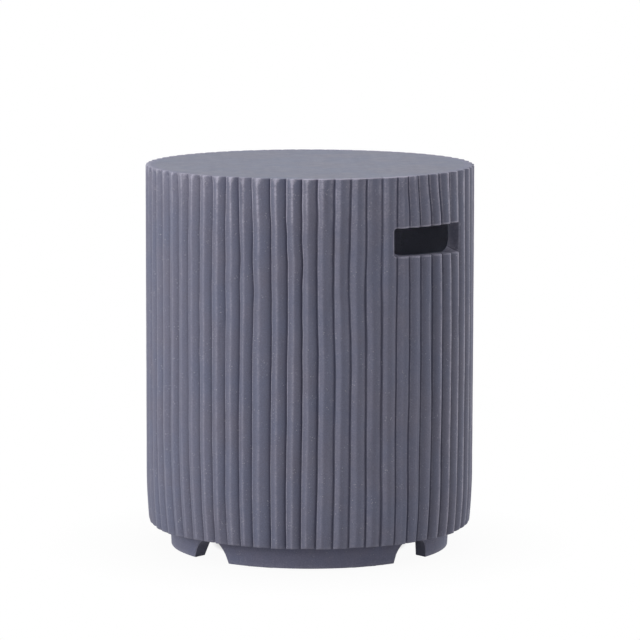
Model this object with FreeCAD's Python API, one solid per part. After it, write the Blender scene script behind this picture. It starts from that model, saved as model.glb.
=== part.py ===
"""Propane tank cover table: a hollow fluted drum on a footed plinth ring.

The part stands on the floor with +Z up. Its origin is the centre of its base, at floor level.
The two hand openings face +X and -X. The four hose notches in the plinth face +X, +Y, -X and -Y,
so the four feet between them are centred on the diagonals. Sizes are in millimetres.
"""
import FreeCAD, Part
import math
import os

# Overall size
OVERALL_DIAMETER = 431.8
OVERALL_HEIGHT = 505.5

# Fluted wall: the ribs run the whole height of the drum
RIB_COUNT = 66
RIB_CROWN = 2.8
GROOVE_DEPTH = 2.2
GROOVE_WIDTH = 2.6
WALL_THICKNESS = 18.0
RIB_TOP_EASING = 2.0
RIB_FOOT_EASING = 5.0
EASING_LEAN = 0.25

# Tabletop panel and the rebate that it drops into
TOP_THICKNESS = 20.0
REBATE_DEPTH = 12.0
RIM_THICKNESS = 13.0
LEDGE_WIDTH = 16.0
LEDGE_THICKNESS = 10.0
PANEL_EASING = 1.0

# Hand openings through the wall, on +X and -X
HANDLE_WIDTH = 126.0
HANDLE_HEIGHT = 40.0
HANDLE_BELOW_TOP = 64.5
HANDLE_CORNER_RADIUS = 4.0

# Inward return at the drum's foot, which stands on the plinth
RETURN_THICKNESS = 16.0
RETURN_FILLET = 8.0

# Plinth ring with its four feet, set back under the drum
PLINTH_HEIGHT = 29.0
PLINTH_SETBACK = 30.9
PLINTH_WALL = 17.0
PLINTH_DRAFT = 1.5
PLINTH_EDGE_EASING = 1.5
SPIGOT_THICKNESS = 5.0
SPIGOT_HEIGHT = 11.0
NOTCH_WIDTH = 61.0
NOTCH_HEIGHT = 25.5
NOTCH_CORNER_RADIUS = 15.0

# Non-slip pads under the feet
PAD_THICKNESS = 2.0
PAD_LENGTH = 36.0
PAD_WIDTH = 10.0
PAD_CORNER_RADIUS = 3.0
PADS_PER_FOOT = 2
PAD_SPREAD_DEG = 44.0

# Bonding gap between two castings that fit one inside the other
BOND_GAP = 0.5

# Room that a cutting shape is given past the face that it cuts
CUT_MARGIN = 5.0

# Plain geometry
FOOT_COUNT = 4
FULL_TURN = 360.0
HALF_WAY_ROUND = math.cos(math.radians(45))
PARALLEL = 0.999
MM3_PER_LITRE = 1e6

# Places and sizes that follow from the driving dimensions
CREST_RADIUS = OVERALL_DIAMETER / 2
ARRIS_RADIUS = CREST_RADIUS - RIB_CROWN
GROOVE_RADIUS = ARRIS_RADIUS - GROOVE_DEPTH
INNER_RADIUS = CREST_RADIUS - WALL_THICKNESS
REBATE_RADIUS = CREST_RADIUS - RIM_THICKNESS
LEDGE_BORE_RADIUS = REBATE_RADIUS - LEDGE_WIDTH
PLINTH_RADIUS = CREST_RADIUS - PLINTH_SETBACK
PLINTH_BORE_RADIUS = PLINTH_RADIUS - PLINTH_WALL
FOOT_EDGE_RADIUS = PLINTH_RADIUS - PLINTH_DRAFT - PLINTH_EDGE_EASING
SPIGOT_RADIUS = PLINTH_BORE_RADIUS + SPIGOT_THICKNESS
RETURN_BORE_RADIUS = SPIGOT_RADIUS + BOND_GAP

PLINTH_BOTTOM = PAD_THICKNESS
DRUM_BOTTOM = PLINTH_BOTTOM + PLINTH_HEIGHT
RETURN_TOP = DRUM_BOTTOM + RETURN_THICKNESS
SPIGOT_TOP = DRUM_BOTTOM + SPIGOT_HEIGHT
LEDGE_TOP = OVERALL_HEIGHT - REBATE_DEPTH
LEDGE_BOTTOM = LEDGE_TOP - LEDGE_THICKNESS
LEDGE_SLOPE_BOTTOM = LEDGE_BOTTOM - (INNER_RADIUS - LEDGE_BORE_RADIUS)
PANEL_BOTTOM = OVERALL_HEIGHT - TOP_THICKNESS
HANDLE_TOP = OVERALL_HEIGHT - HANDLE_BELOW_TOP
HANDLE_BOTTOM = HANDLE_TOP - HANDLE_HEIGHT


def polar(radius, angle_deg, height=0.0):
    """Point at a radius and an angle about the drum's axis."""
    angle = math.radians(angle_deg)
    return FreeCAD.Vector(radius * math.cos(angle), radius * math.sin(angle), height)


def section_point(radius, height):
    """Point of a section that is turned about the drum's axis."""
    return FreeCAD.Vector(radius, 0, height)


def line(start, end):
    """Straight edge between two points."""
    return Part.LineSegment(start, end).toShape()


def arc(start, middle, end):
    """Round edge through three points."""
    return Part.Arc(start, middle, end).toShape()


def turned(points):
    """Solid of revolution about the drum's axis, from the corners of its section."""
    section = Part.Face(Part.makePolygon(points + points[:1]))
    return section.revolve(FreeCAD.Vector(0, 0, 0), FreeCAD.Vector(0, 0, 1), FULL_TURN)


def turned_edges(edges):
    """Solid of revolution about the drum's axis, from a closed chain of edges."""
    section = Part.Face(Part.Wire(edges))
    return section.revolve(FreeCAD.Vector(0, 0, 0), FreeCAD.Vector(0, 0, 1), FULL_TURN)


def rib_edges(index):
    """One rib of the outline: up from the groove, over the crown, down to the next groove."""
    pitch = FULL_TURN / RIB_COUNT
    half_groove = math.degrees(math.asin(GROOVE_WIDTH / 2 / ARRIS_RADIUS))
    crest_angle = index * pitch
    groove_start = polar(GROOVE_RADIUS, crest_angle - pitch / 2)
    first_arris = polar(ARRIS_RADIUS, crest_angle - pitch / 2 + half_groove)
    crest = polar(CREST_RADIUS, crest_angle)
    second_arris = polar(ARRIS_RADIUS, crest_angle + pitch / 2 - half_groove)
    groove_end = polar(GROOVE_RADIUS, crest_angle + pitch / 2)
    return [line(groove_start, first_arris), arc(first_arris, crest, second_arris), line(second_arris, groove_end)]


def fluted_prism():
    """Solid drum with every rib on its outside, before it is hollowed."""
    edges = []
    for index in range(RIB_COUNT):
        edges += rib_edges(index)
    outline = Part.Face(Part.Wire(Part.__sortEdges__(edges)))
    outline.translate(FreeCAD.Vector(0, 0, DRUM_BOTTOM))
    return outline.extrude(FreeCAD.Vector(0, 0, OVERALL_HEIGHT - DRUM_BOTTOM))


def easing_arc(radius, end_height, into_height, easing):
    """Arc that eases a rib's end: it leaves the end face and crosses the crests at a lean."""
    lean = easing * EASING_LEAN
    start = section_point(radius - easing, end_height)
    finish = section_point(radius + lean, end_height + into_height * (easing + lean))
    bulge = easing * HALF_WAY_ROUND
    middle = section_point(radius - easing + bulge, end_height + into_height * (easing - bulge))
    return arc(start, middle, finish)


def rib_envelope():
    """Turned body that eases the ribs' upper and lower ends, clear of their crests between."""
    bottom_arc = easing_arc(CREST_RADIUS, DRUM_BOTTOM, 1, RIB_FOOT_EASING)
    top_arc = easing_arc(CREST_RADIUS, OVERALL_HEIGHT, -1, RIB_TOP_EASING)
    outer = CREST_RADIUS + CUT_MARGIN
    low_end = bottom_arc.Vertexes[-1].Point
    high_end = top_arc.Vertexes[-1].Point
    axis_low = section_point(0, DRUM_BOTTOM)
    axis_high = section_point(0, OVERALL_HEIGHT)
    edges = [line(axis_low, section_point(CREST_RADIUS - RIB_FOOT_EASING, DRUM_BOTTOM)), bottom_arc]
    edges.append(line(low_end, section_point(outer, low_end.z)))
    edges.append(line(section_point(outer, low_end.z), section_point(outer, high_end.z)))
    edges.append(line(section_point(outer, high_end.z), high_end))
    edges.append(top_arc)
    edges.append(line(section_point(CREST_RADIUS - RIB_TOP_EASING, OVERALL_HEIGHT), axis_high))
    edges.append(line(axis_high, axis_low))
    return turned_edges(edges)


def drum_hollow():
    """Everything that is open inside the wall: return bore, tank space, ledge bore and rebate."""
    fillet_start = section_point(INNER_RADIUS - RETURN_FILLET, RETURN_TOP)
    fillet_end = section_point(INNER_RADIUS, RETURN_TOP + RETURN_FILLET)
    bulge = RETURN_FILLET * (1 - HALF_WAY_ROUND)
    fillet_middle = section_point(INNER_RADIUS - bulge, RETURN_TOP + bulge)
    corners = [
        section_point(INNER_RADIUS, LEDGE_SLOPE_BOTTOM),
        section_point(LEDGE_BORE_RADIUS, LEDGE_BOTTOM),
        section_point(LEDGE_BORE_RADIUS, LEDGE_TOP),
        section_point(REBATE_RADIUS, LEDGE_TOP),
        section_point(REBATE_RADIUS, OVERALL_HEIGHT + CUT_MARGIN),
        section_point(0, OVERALL_HEIGHT + CUT_MARGIN),
        section_point(0, DRUM_BOTTOM - CUT_MARGIN),
        section_point(RETURN_BORE_RADIUS, DRUM_BOTTOM - CUT_MARGIN),
        section_point(RETURN_BORE_RADIUS, RETURN_TOP),
    ]
    edges = [arc(fillet_start, fillet_middle, fillet_end), line(fillet_end, corners[0])]
    edges += [line(start, end) for start, end in zip(corners, corners[1:])]
    edges.append(line(corners[-1], fillet_start))
    return turned_edges(edges)


def turned_about_axis(shape, angle_deg):
    """Copy of a shape, turned about the drum's axis."""
    copy = shape.copy()
    copy.rotate(FreeCAD.Vector(0, 0, 0), FreeCAD.Vector(0, 0, 1), angle_deg)
    return copy


def chord_distance(radius, half_width):
    """Distance from the drum's axis to a chord of the given half width."""
    return math.sqrt(radius ** 2 - half_width ** 2)


def edges_along(shape, direction):
    """Straight edges of a shape that run along a direction."""
    return [edge for edge in shape.Edges if abs(edge.tangentAt(edge.FirstParameter).dot(direction)) > PARALLEL]


def hand_openings():
    """The two blocks, with rounded long edges, that the hand openings are cut with."""
    start_x = chord_distance(INNER_RADIUS, HANDLE_WIDTH / 2) - CUT_MARGIN
    length = CREST_RADIUS + CUT_MARGIN - start_x
    corner = FreeCAD.Vector(start_x, -HANDLE_WIDTH / 2, HANDLE_BOTTOM)
    block = Part.makeBox(length, HANDLE_WIDTH, HANDLE_HEIGHT, corner)
    block = block.makeFillet(HANDLE_CORNER_RADIUS, edges_along(block, FreeCAD.Vector(1, 0, 0)))
    return [turned_about_axis(block, 0), turned_about_axis(block, FULL_TURN / 2)]


def make_fluted_wall():
    """Drum wall: ribs outside, rebate and ledge for the tabletop, return for the plinth."""
    wall = fluted_prism().common(rib_envelope())
    wall = wall.cut(drum_hollow())
    return wall.cut(hand_openings())


def make_tabletop():
    """Round panel: its flange lies on the ledge, its thicker middle sits in the ledge's bore."""
    flange_radius = REBATE_RADIUS - BOND_GAP
    middle_radius = LEDGE_BORE_RADIUS - BOND_GAP
    return turned([
        section_point(0, PANEL_BOTTOM),
        section_point(middle_radius - PANEL_EASING, PANEL_BOTTOM),
        section_point(middle_radius, PANEL_BOTTOM + PANEL_EASING),
        section_point(middle_radius, LEDGE_TOP),
        section_point(flange_radius, LEDGE_TOP),
        section_point(flange_radius, OVERALL_HEIGHT),
        section_point(0, OVERALL_HEIGHT),
    ])


def notch_tool(angle_deg):
    """Arched block that cuts one hose notch through the plinth ring."""
    half_width = NOTCH_WIDTH / 2
    notch_top = PLINTH_BOTTOM + NOTCH_HEIGHT
    below = PLINTH_BOTTOM - CUT_MARGIN
    straight_top = notch_top - NOTCH_CORNER_RADIUS
    round_start = half_width - NOTCH_CORNER_RADIUS
    bulge = NOTCH_CORNER_RADIUS * HALF_WAY_ROUND
    start_x = chord_distance(PLINTH_BORE_RADIUS, half_width) - CUT_MARGIN

    def corner(side, height):
        return FreeCAD.Vector(start_x, side, height)

    edges = [
        line(corner(-half_width, below), corner(half_width, below)),
        line(corner(half_width, below), corner(half_width, straight_top)),
        arc(corner(half_width, straight_top), corner(round_start + bulge, straight_top + bulge),
            corner(round_start, notch_top)),
        line(corner(round_start, notch_top), corner(-round_start, notch_top)),
        arc(corner(-round_start, notch_top), corner(-round_start - bulge, straight_top + bulge),
            corner(-half_width, straight_top)),
        line(corner(-half_width, straight_top), corner(-half_width, below)),
    ]
    arch = Part.Face(Part.Wire(edges)).extrude(FreeCAD.Vector(PLINTH_RADIUS + CUT_MARGIN - start_x, 0, 0))
    return turned_about_axis(arch, angle_deg)


def make_plinth():
    """Ring with four feet: the drum stands on its shoulder, around its spigot."""
    ring = turned([
        section_point(PLINTH_BORE_RADIUS, PLINTH_BOTTOM),
        section_point(FOOT_EDGE_RADIUS, PLINTH_BOTTOM),
        section_point(PLINTH_RADIUS - PLINTH_DRAFT, PLINTH_BOTTOM + PLINTH_EDGE_EASING),
        section_point(PLINTH_RADIUS, DRUM_BOTTOM),
        section_point(SPIGOT_RADIUS, DRUM_BOTTOM),
        section_point(SPIGOT_RADIUS, SPIGOT_TOP),
        section_point(PLINTH_BORE_RADIUS, SPIGOT_TOP),
    ])
    notches = [notch_tool(index * FULL_TURN / FOOT_COUNT) for index in range(FOOT_COUNT)]
    return ring.cut(notches)


def make_foot_pad(angle_deg):
    """Flat pad with rounded corners, midway across the foot that it is stuck under."""
    foot_middle = (PLINTH_BORE_RADIUS + FOOT_EDGE_RADIUS) / 2
    corner = FreeCAD.Vector(foot_middle - PAD_WIDTH / 2, -PAD_LENGTH / 2, 0)
    pad = Part.makeBox(PAD_WIDTH, PAD_LENGTH, PAD_THICKNESS, corner)
    pad = pad.makeFillet(PAD_CORNER_RADIUS, edges_along(pad, FreeCAD.Vector(0, 0, 1)))
    return turned_about_axis(pad, angle_deg)


def foot_pad_angles():
    """Angle of each pad about the axis, foot by foot."""
    foot_pitch = FULL_TURN / FOOT_COUNT
    pad_pitch = PAD_SPREAD_DEG / (PADS_PER_FOOT - 1)
    angles = []
    for foot in range(FOOT_COUNT):
        foot_middle = foot * foot_pitch + foot_pitch / 2
        first_pad = foot_middle - PAD_SPREAD_DEG / 2
        angles += [first_pad + pad * pad_pitch for pad in range(PADS_PER_FOOT)]
    return angles


def write_part(shape, node):
    """Write one piece as its own STEP file."""
    solid = shape.Solids[0]
    solid.exportStep(f"parts/{node}.step")
    litres = solid.Volume / MM3_PER_LITRE
    print(f"{node}: {len(shape.Solids)} solid, {litres:.4f} litres, valid {solid.isValid()}")


def main():
    """Build and write every piece."""
    os.makedirs("parts", exist_ok=True)
    write_part(make_tabletop(), "tabletop")
    write_part(make_fluted_wall(), "fluted_wall")
    write_part(make_plinth(), "plinth")
    for number, angle in enumerate(foot_pad_angles(), start=1):
        write_part(make_foot_pad(angle), f"foot_pad_{number}")


main()
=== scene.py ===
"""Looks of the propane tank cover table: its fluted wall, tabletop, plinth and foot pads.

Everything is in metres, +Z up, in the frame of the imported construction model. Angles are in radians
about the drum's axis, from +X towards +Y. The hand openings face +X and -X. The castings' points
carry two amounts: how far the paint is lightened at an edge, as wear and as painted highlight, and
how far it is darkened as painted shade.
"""
from __future__ import annotations

import logging
import math
import random
from collections.abc import Callable, Mapping, Sequence
from dataclasses import dataclass, replace
from enum import Enum
from functools import partial, reduce

import bmesh
import bpy
from mathutils import Euler, Matrix, Vector, noise

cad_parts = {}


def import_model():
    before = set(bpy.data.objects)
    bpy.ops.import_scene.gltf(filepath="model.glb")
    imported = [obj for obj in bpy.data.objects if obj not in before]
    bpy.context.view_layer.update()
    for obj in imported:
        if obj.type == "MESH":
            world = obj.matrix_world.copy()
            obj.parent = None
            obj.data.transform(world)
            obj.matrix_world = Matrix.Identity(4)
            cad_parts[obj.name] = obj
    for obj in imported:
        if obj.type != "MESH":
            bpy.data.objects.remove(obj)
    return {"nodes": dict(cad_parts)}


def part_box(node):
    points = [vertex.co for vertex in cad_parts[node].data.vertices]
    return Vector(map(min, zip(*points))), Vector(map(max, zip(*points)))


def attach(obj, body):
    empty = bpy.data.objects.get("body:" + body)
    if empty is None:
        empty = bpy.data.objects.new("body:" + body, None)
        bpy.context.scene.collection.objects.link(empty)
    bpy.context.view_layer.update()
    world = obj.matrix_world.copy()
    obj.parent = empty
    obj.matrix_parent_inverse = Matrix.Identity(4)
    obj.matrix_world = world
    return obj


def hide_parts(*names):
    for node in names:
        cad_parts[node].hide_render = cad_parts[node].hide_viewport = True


LOG = logging.getLogger("tank_cover_table")
MM = 0.001
FULL_TURN = math.tau
QUARTER_TURN = FULL_TURN / 4
UP = Vector((0, 0, 1))
FRONT = math.radians(-46.3)  # the angle that faces the photograph's camera
SPIN_SECTORS = 12
MERGE_DISTANCE = 0.001 * MM
BODY = "root"
# Point layers: wear together with painted highlights, and painted shade.
WEAR_HIGHLIGHT_LAYER = "worn_edge_and_painted_highlight"
PAINTED_SHADE_LAYER = "painted_shade"
Colour = tuple[float, float, float, float]
Pair = tuple[float, float]
BMesh = bmesh.types.BMesh
Socket = bpy.types.NodeSocket
NodeTree = bpy.types.NodeTree
Material = bpy.types.Material


class Slot(Enum):
    """Names of the object's material slots."""

    PAINTED_CASTING = "painted_casting"
    FOOT_PAD = "foot_pad"


class Surface(Enum):
    """Places of the finishes in a casting's material list."""

    PAINT = 0
    RAW_CEMENT = 1


class SocketKind(Enum):
    """Kinds of the sockets of a node group."""

    NUMBER = "NodeSocketFloat"
    VECTOR = "NodeSocketVector"
    COLOUR = "NodeSocketColor"


class Stretch(Enum):
    """Stretches of a rib's section, from the groove on its left to the one on its right."""

    RISE = "rise"
    LEFT = "left"
    RIGHT = "right"
    FALL = "fall"


def linear_level(level: float) -> float:
    """Turn a level as a screen shows it, from 0 to 255, into a linear one from 0 to 1."""
    share = level / 255
    return share / 12.92 if share <= 0.04045 else ((share + 0.055) / 1.055) ** 2.4


def screen_colour(red: float, green: float, blue: float) -> Colour:
    """Turn a colour as a screen shows it, by levels from 0 to 255, into a linear opaque one."""
    return linear_level(red), linear_level(green), linear_level(blue), 1.0


def wave(*place: float) -> float:
    """Smooth noise of about -1 to 1 at a place given by up to three coordinates."""
    return noise.noise(Vector((*place, 0.0, 0.0)[:3]))


def clamp(value: float, low: float, high: float) -> float:
    """Value held between two limits."""
    return min(max(value, low), high)


def between(first: float, second: float, share: float) -> float:
    """Value at a share of the way from one to another."""
    return first + (second - first) * share


def ease(share: float) -> float:
    """Ease a share from 0 to 1, with a level start and end."""
    held = clamp(share, 0.0, 1.0)
    return held * held * (3 - 2 * held)


def rising(value: float, start: float, reach: float) -> float:
    """Eased share that goes from 0 to 1 as a value goes on from a start by a reach."""
    return ease((value - start) / reach)


def fading(value: float, reach: float) -> float:
    """Eased share that goes from 1 to 0 as a value goes from 0 to its reach."""
    return ease(1 - value / reach)


def soft_max(values: Sequence[float], rounding: float) -> float:
    """Largest of some values, never less, and rounded up where two of them are about equal."""
    top = max(values)
    return top + rounding * math.log(sum(math.exp((value - top) / rounding) for value in values))


def soft_min(first: float, second: float, rounding: float) -> float:
    """Smaller of two values, rounded where they are about equal."""
    return -soft_max((-first, -second), rounding)


def polar(radius: float, angle: float, height: float = 0.0) -> Vector:
    """Point at a radius and an angle about the drum's axis."""
    return Vector((radius * math.cos(angle), radius * math.sin(angle), height))


def radius_of(point: Vector) -> float:
    """Distance of a point from the drum's axis."""
    return math.hypot(point.x, point.y)


def angle_of(point: Vector) -> float:
    """Angle of a point about the drum's axis."""
    return math.atan2(point.y, point.x)


def turn_section(bm: BMesh, section: Sequence[Pair], steps: int, start: float = 0.0,
                 closed: bool = True) -> None:
    """Spin a section about the drum's axis into a closed skin with its faces outwards.

    One sector is spun first and then repeated round the axis, far quicker than one long spin.

    Args:
        bm: The empty mesh that takes the skin.
        section: Corners of the section as radius and height.
        steps: Number of columns round the axis, a multiple of SPIN_SECTORS.
        start: Angle of the first column.
        closed: Whether the last corner joins the first. An open section starts and ends on the
            axis.
    """
    verts = [bm.verts.new(polar(radius, start, height)) for radius, height in section]
    edges = [bm.edges.new(pair) for pair in zip(verts, verts[1:])]
    if closed:
        edges.append(bm.edges.new((verts[-1], verts[0])))
    spin = partial(bmesh.ops.spin, bm, cent=(0, 0, 0), axis=UP)
    spin(geom=verts + edges, angle=FULL_TURN / SPIN_SECTORS, steps=steps // SPIN_SECTORS)
    spin(geom=[*bm.verts, *bm.edges, *bm.faces], angle=FULL_TURN * (1 - 1 / SPIN_SECTORS),
         steps=SPIN_SECTORS - 1, use_duplicate=True)
    bmesh.ops.remove_doubles(bm, verts=bm.verts, dist=MERGE_DISTANCE)
    bmesh.ops.recalc_face_normals(bm, faces=bm.faces)


@dataclass(frozen=True)
class Sector:
    """Part of the drum's round that a trait fades into.

    Its middle is in degrees right of the photographed front. The trait starts where the cosine of
    the angle from that middle comes to the start, and is full where it is higher by the spread.
    """

    middle: float
    start: float
    spread: float

    def share(self, angle: float) -> float:
        """How far the trait holds at an angle, from 0 to 1."""
        nearness = math.cos(angle - FRONT - math.radians(self.middle))
        return rising(nearness, self.start, self.spread)


@dataclass(frozen=True)
class Ripple:
    """A slow random change across the ribs, by number or by angle, and upwards."""

    size: float
    across: float
    upwards: float
    layer: float
    start: float = 0.0

    def at(self, place: float, height: float = 0.0) -> float:
        """The change at a place across the ribs and at a height."""
        return self.size * wave(place * self.across, height * self.upwards + self.start, self.layer)


@dataclass(frozen=True)
class RoundRipple:
    """A slow random change that closes round the drum, by scale round it and upwards."""

    size: float
    around: float
    upwards: float
    shift: Pair = (0.0, 0.0)

    def at(self, x: float, y: float, height: float) -> float:
        """The change at a height and at a point of the circle of radius one."""
        return self.size * wave(x * self.around + self.shift[0], y * self.around + self.shift[1],
                                height * self.upwards)


@dataclass(frozen=True)
class Zone:
    """Part of a turned casting, by distance from the axis and by height."""

    inner: float = -math.inf
    outer: float = math.inf
    low: float = -math.inf
    high: float = math.inf

    def holds(self, point: Vector) -> bool:
        """Whether a point is in the zone."""
        return self.inner < radius_of(point) < self.outer and self.low < point.z < self.high


@dataclass(frozen=True)
class WindowOutline:
    """Rounded rectangle in the plane across an opening, by sideways and upward distances."""

    half_width: float
    bottom: float
    top: float
    upper_corner: float
    lower_corner: float

    @property
    def middle(self) -> float:
        """Height of the outline's middle."""
        return (self.bottom + self.top) / 2

    def grown(self, margin: float) -> WindowOutline:
        """The outline at a margin outside this one."""
        return WindowOutline(self.half_width + margin, self.bottom - margin, self.top + margin,
                             self.upper_corner + margin, self.lower_corner + margin)

    def _past_core(self, side: float, up: float) -> tuple[float, float, float]:
        """Distances of a place past the corner circles' centres, and those circles' radius."""
        corner = self.upper_corner if up > self.middle else self.lower_corner
        return (abs(side) - self.half_width + corner,
                abs(up - self.middle) - (self.top - self.bottom) / 2 + corner, corner)

    def distance(self, side: float, up: float) -> float:
        """Distance of a place from the outline, below zero inside it."""
        across, along, corner = self._past_core(side, up)
        return math.hypot(max(across, 0.0), max(along, 0.0)) + min(max(across, along), 0.0) - corner

    def away(self, side: float, up: float) -> Pair:
        """Direction that leads straight out of the outline.

        Args:
            side: Sideways distance of a place.
            up: Upward distance of the place.

        Returns:
            The unit direction, sideways and upwards.
        """
        across, along, _ = self._past_core(side, up)
        if across > 0 and along > 0:
            length = math.hypot(across, along)
            across, along = across / length, along / length
        else:
            across, along = (1.0, 0.0) if across > along else (0.0, 1.0)
        return math.copysign(across, side), math.copysign(along, up - self.middle)

    def corners(self, arc_steps: int) -> list[Pair]:
        """Corners of the polygon that stands for the outline, anticlockwise.

        Args:
            arc_steps: Straight pieces in each rounded corner.

        Returns:
            Points by sideways and upward distance.
        """
        points = []
        for quarter in range(4):
            side_sign = 1 if quarter in (0, 3) else -1
            upper = quarter in (0, 1)
            corner = self.upper_corner if upper else self.lower_corner
            centre_side = side_sign * (self.half_width - corner)
            centre_up = self.top - corner if upper else self.bottom + corner
            for step in range(arc_steps + 1):
                angle = (quarter + step / arc_steps) * QUARTER_TURN
                points.append((centre_side + corner * math.cos(angle),
                               centre_up + corner * math.sin(angle)))
        return points


class WindowCutter:
    """Cuts openings with rounded corners straight through a turned wall, and shapes their edges."""

    REACH = 9 * MM
    # Painted highlight along the rounded lips.
    LIP_HIGHLIGHT = 1.3

    def __init__(self, bm: BMesh, facing: float) -> None:
        """Aim the cutter.

        Args:
            bm: The wall's mesh, closed before each opening is cut and after it is lined. It has
            the layer of wear and painted highlights.
            facing: Angle that the opening faces.
        """
        self.bm = bm
        self.out = polar(1.0, facing)
        self.side = polar(1.0, facing + QUARTER_TURN)
        self.wear_highlight_layer = bm.verts.layers.float[WEAR_HIGHLIGHT_LAYER]

    def flat(self, point: Vector) -> Pair:
        """Sideways and upward distance of a point."""
        return point.dot(self.side), point.z

    def cut(self, outline: WindowOutline, arc_steps: int, skin: Zone) -> None:
        """Cut faces along an outline and delete what lies inside it.

        Args:
            outline: The opening's outline.
            arc_steps: Straight pieces in each rounded corner.
            skin: Zone of the faces to cut.
        """
        nearby = outline.grown(self.REACH)
        live = []
        for face in self.bm.faces:
            centre = face.calc_center_median()
            ahead = centre.dot(self.out) > 0
            if ahead and nearby.distance(*self.flat(centre)) < 0 and skin.holds(centre):
                live.append(face)
        corners = outline.corners(arc_steps)
        for start, end in zip(corners, corners[1:] + corners[:1]):
            live = self._bisect(live, start, end)
        inside = [face for face in live
                  if outline.distance(*self.flat(face.calc_center_median())) < 0]
        bmesh.ops.delete(self.bm, geom=inside, context="FACES")

    def _bisect(self, faces: list, start: Pair, end: Pair) -> list:
        """Cut the faces near one straight piece of an outline.

        Args:
            faces: The faces that may be cut.
            start: Start of the straight piece.
            end: End of the straight piece.

        Returns:
            All of the faces, cut or not.
        """
        run = Vector((end[0] - start[0], end[1] - start[1]))
        middle = Vector(((start[0] + end[0]) / 2, (start[1] + end[1]) / 2))
        along = run.normalized()
        near, far = [], []
        for face in faces:
            offset = Vector(self.flat(face.calc_center_median())) - middle
            beyond = abs(offset.dot(along)) - run.length / 2
            aside = abs(offset.cross(along))
            (near if beyond < self.REACH and aside < self.REACH else far).append(face)
        edges = {edge for face in near for edge in face.edges}
        verts = {vert for face in near for vert in face.verts}
        cut = bmesh.ops.bisect_plane(
            self.bm, geom=[*near, *edges, *verts], plane_co=self.side * middle.x + UP * middle.y,
            plane_no=self.side * along.y - UP * along.x, dist=MERGE_DISTANCE)
        return far + [item for item in cut["geom"] if isinstance(item, bmesh.types.BMFace)]

    def open_edges(self, zone: Zone) -> list:
        """Edges with a face on one side only and their middle point in a zone."""
        return [edge for edge in self.bm.edges
                if edge.is_boundary and zone.holds((edge.verts[0].co + edge.verts[1].co) / 2)]

    def mark(self, loop: list, layer: object, least: float) -> None:
        """Raise the amount in a layer to a least value along a loop of edges."""
        for vert in {vert for edge in loop for vert in edge.verts}:
            vert[layer] = max(vert[layer], least)

    def draw_in(self, loop: list, move: Callable[[Vector], Vector], wear_and_highlight: float = 0.0) -> list:
        """Extrude a loop of open edges and move the new loop.

        Args:
            loop: The open edges.
            move: Gives the new place of a point of the loop.
            wear_and_highlight: How much wear and painted highlight the new loop carries.

        Returns:
            The new loop's edges.
        """
        made = bmesh.ops.extrude_edge_only(self.bm, edges=loop)["geom"]
        verts = {item for item in made if isinstance(item, bmesh.types.BMVert)}
        for vert in verts:
            vert.co = move(vert.co.copy())
            vert[self.wear_highlight_layer] = wear_and_highlight
        return [item for item in made
                if isinstance(item, bmesh.types.BMEdge) and set(item.verts) <= verts]

    def moved(self, outline: WindowOutline, inwards: float, deeper: float, point: Vector) -> Vector:
        """Point moved across the opening, towards its middle, and along it into the wall."""
        side, up = outline.away(*self.flat(point))
        return point - (self.side * side + UP * up) * inwards - self.out * deeper

    def round_lip(self, loop: list, outline: WindowOutline, radius: float, steps: int) -> list:
        """Round an opening's outer edge over, from its grown outline to the outline itself.

        Args:
            loop: Open edges on the outline grown by the radius.
            outline: The opening's outline.
            radius: Radius of the rounded lip.
            steps: Number of steps round the lip.

        Returns:
            The open edges after the lip.
        """
        grown = outline.grown(radius)
        for step in range(steps):
            start, end = (count / steps * QUARTER_TURN for count in (step, step + 1))
            inwards = radius * (math.sin(end) - math.sin(start))
            deeper = radius * (math.cos(start) - math.cos(end))
            # Painted highlight, strongest halfway round the lip.
            wear_and_highlight = self.LIP_HIGHLIGHT * math.sin((step + 1) / (steps + 1) * FULL_TURN / 2)
            loop = self.draw_in(loop, partial(self.moved, grown, inwards, deeper), wear_and_highlight)
        return loop


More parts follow.
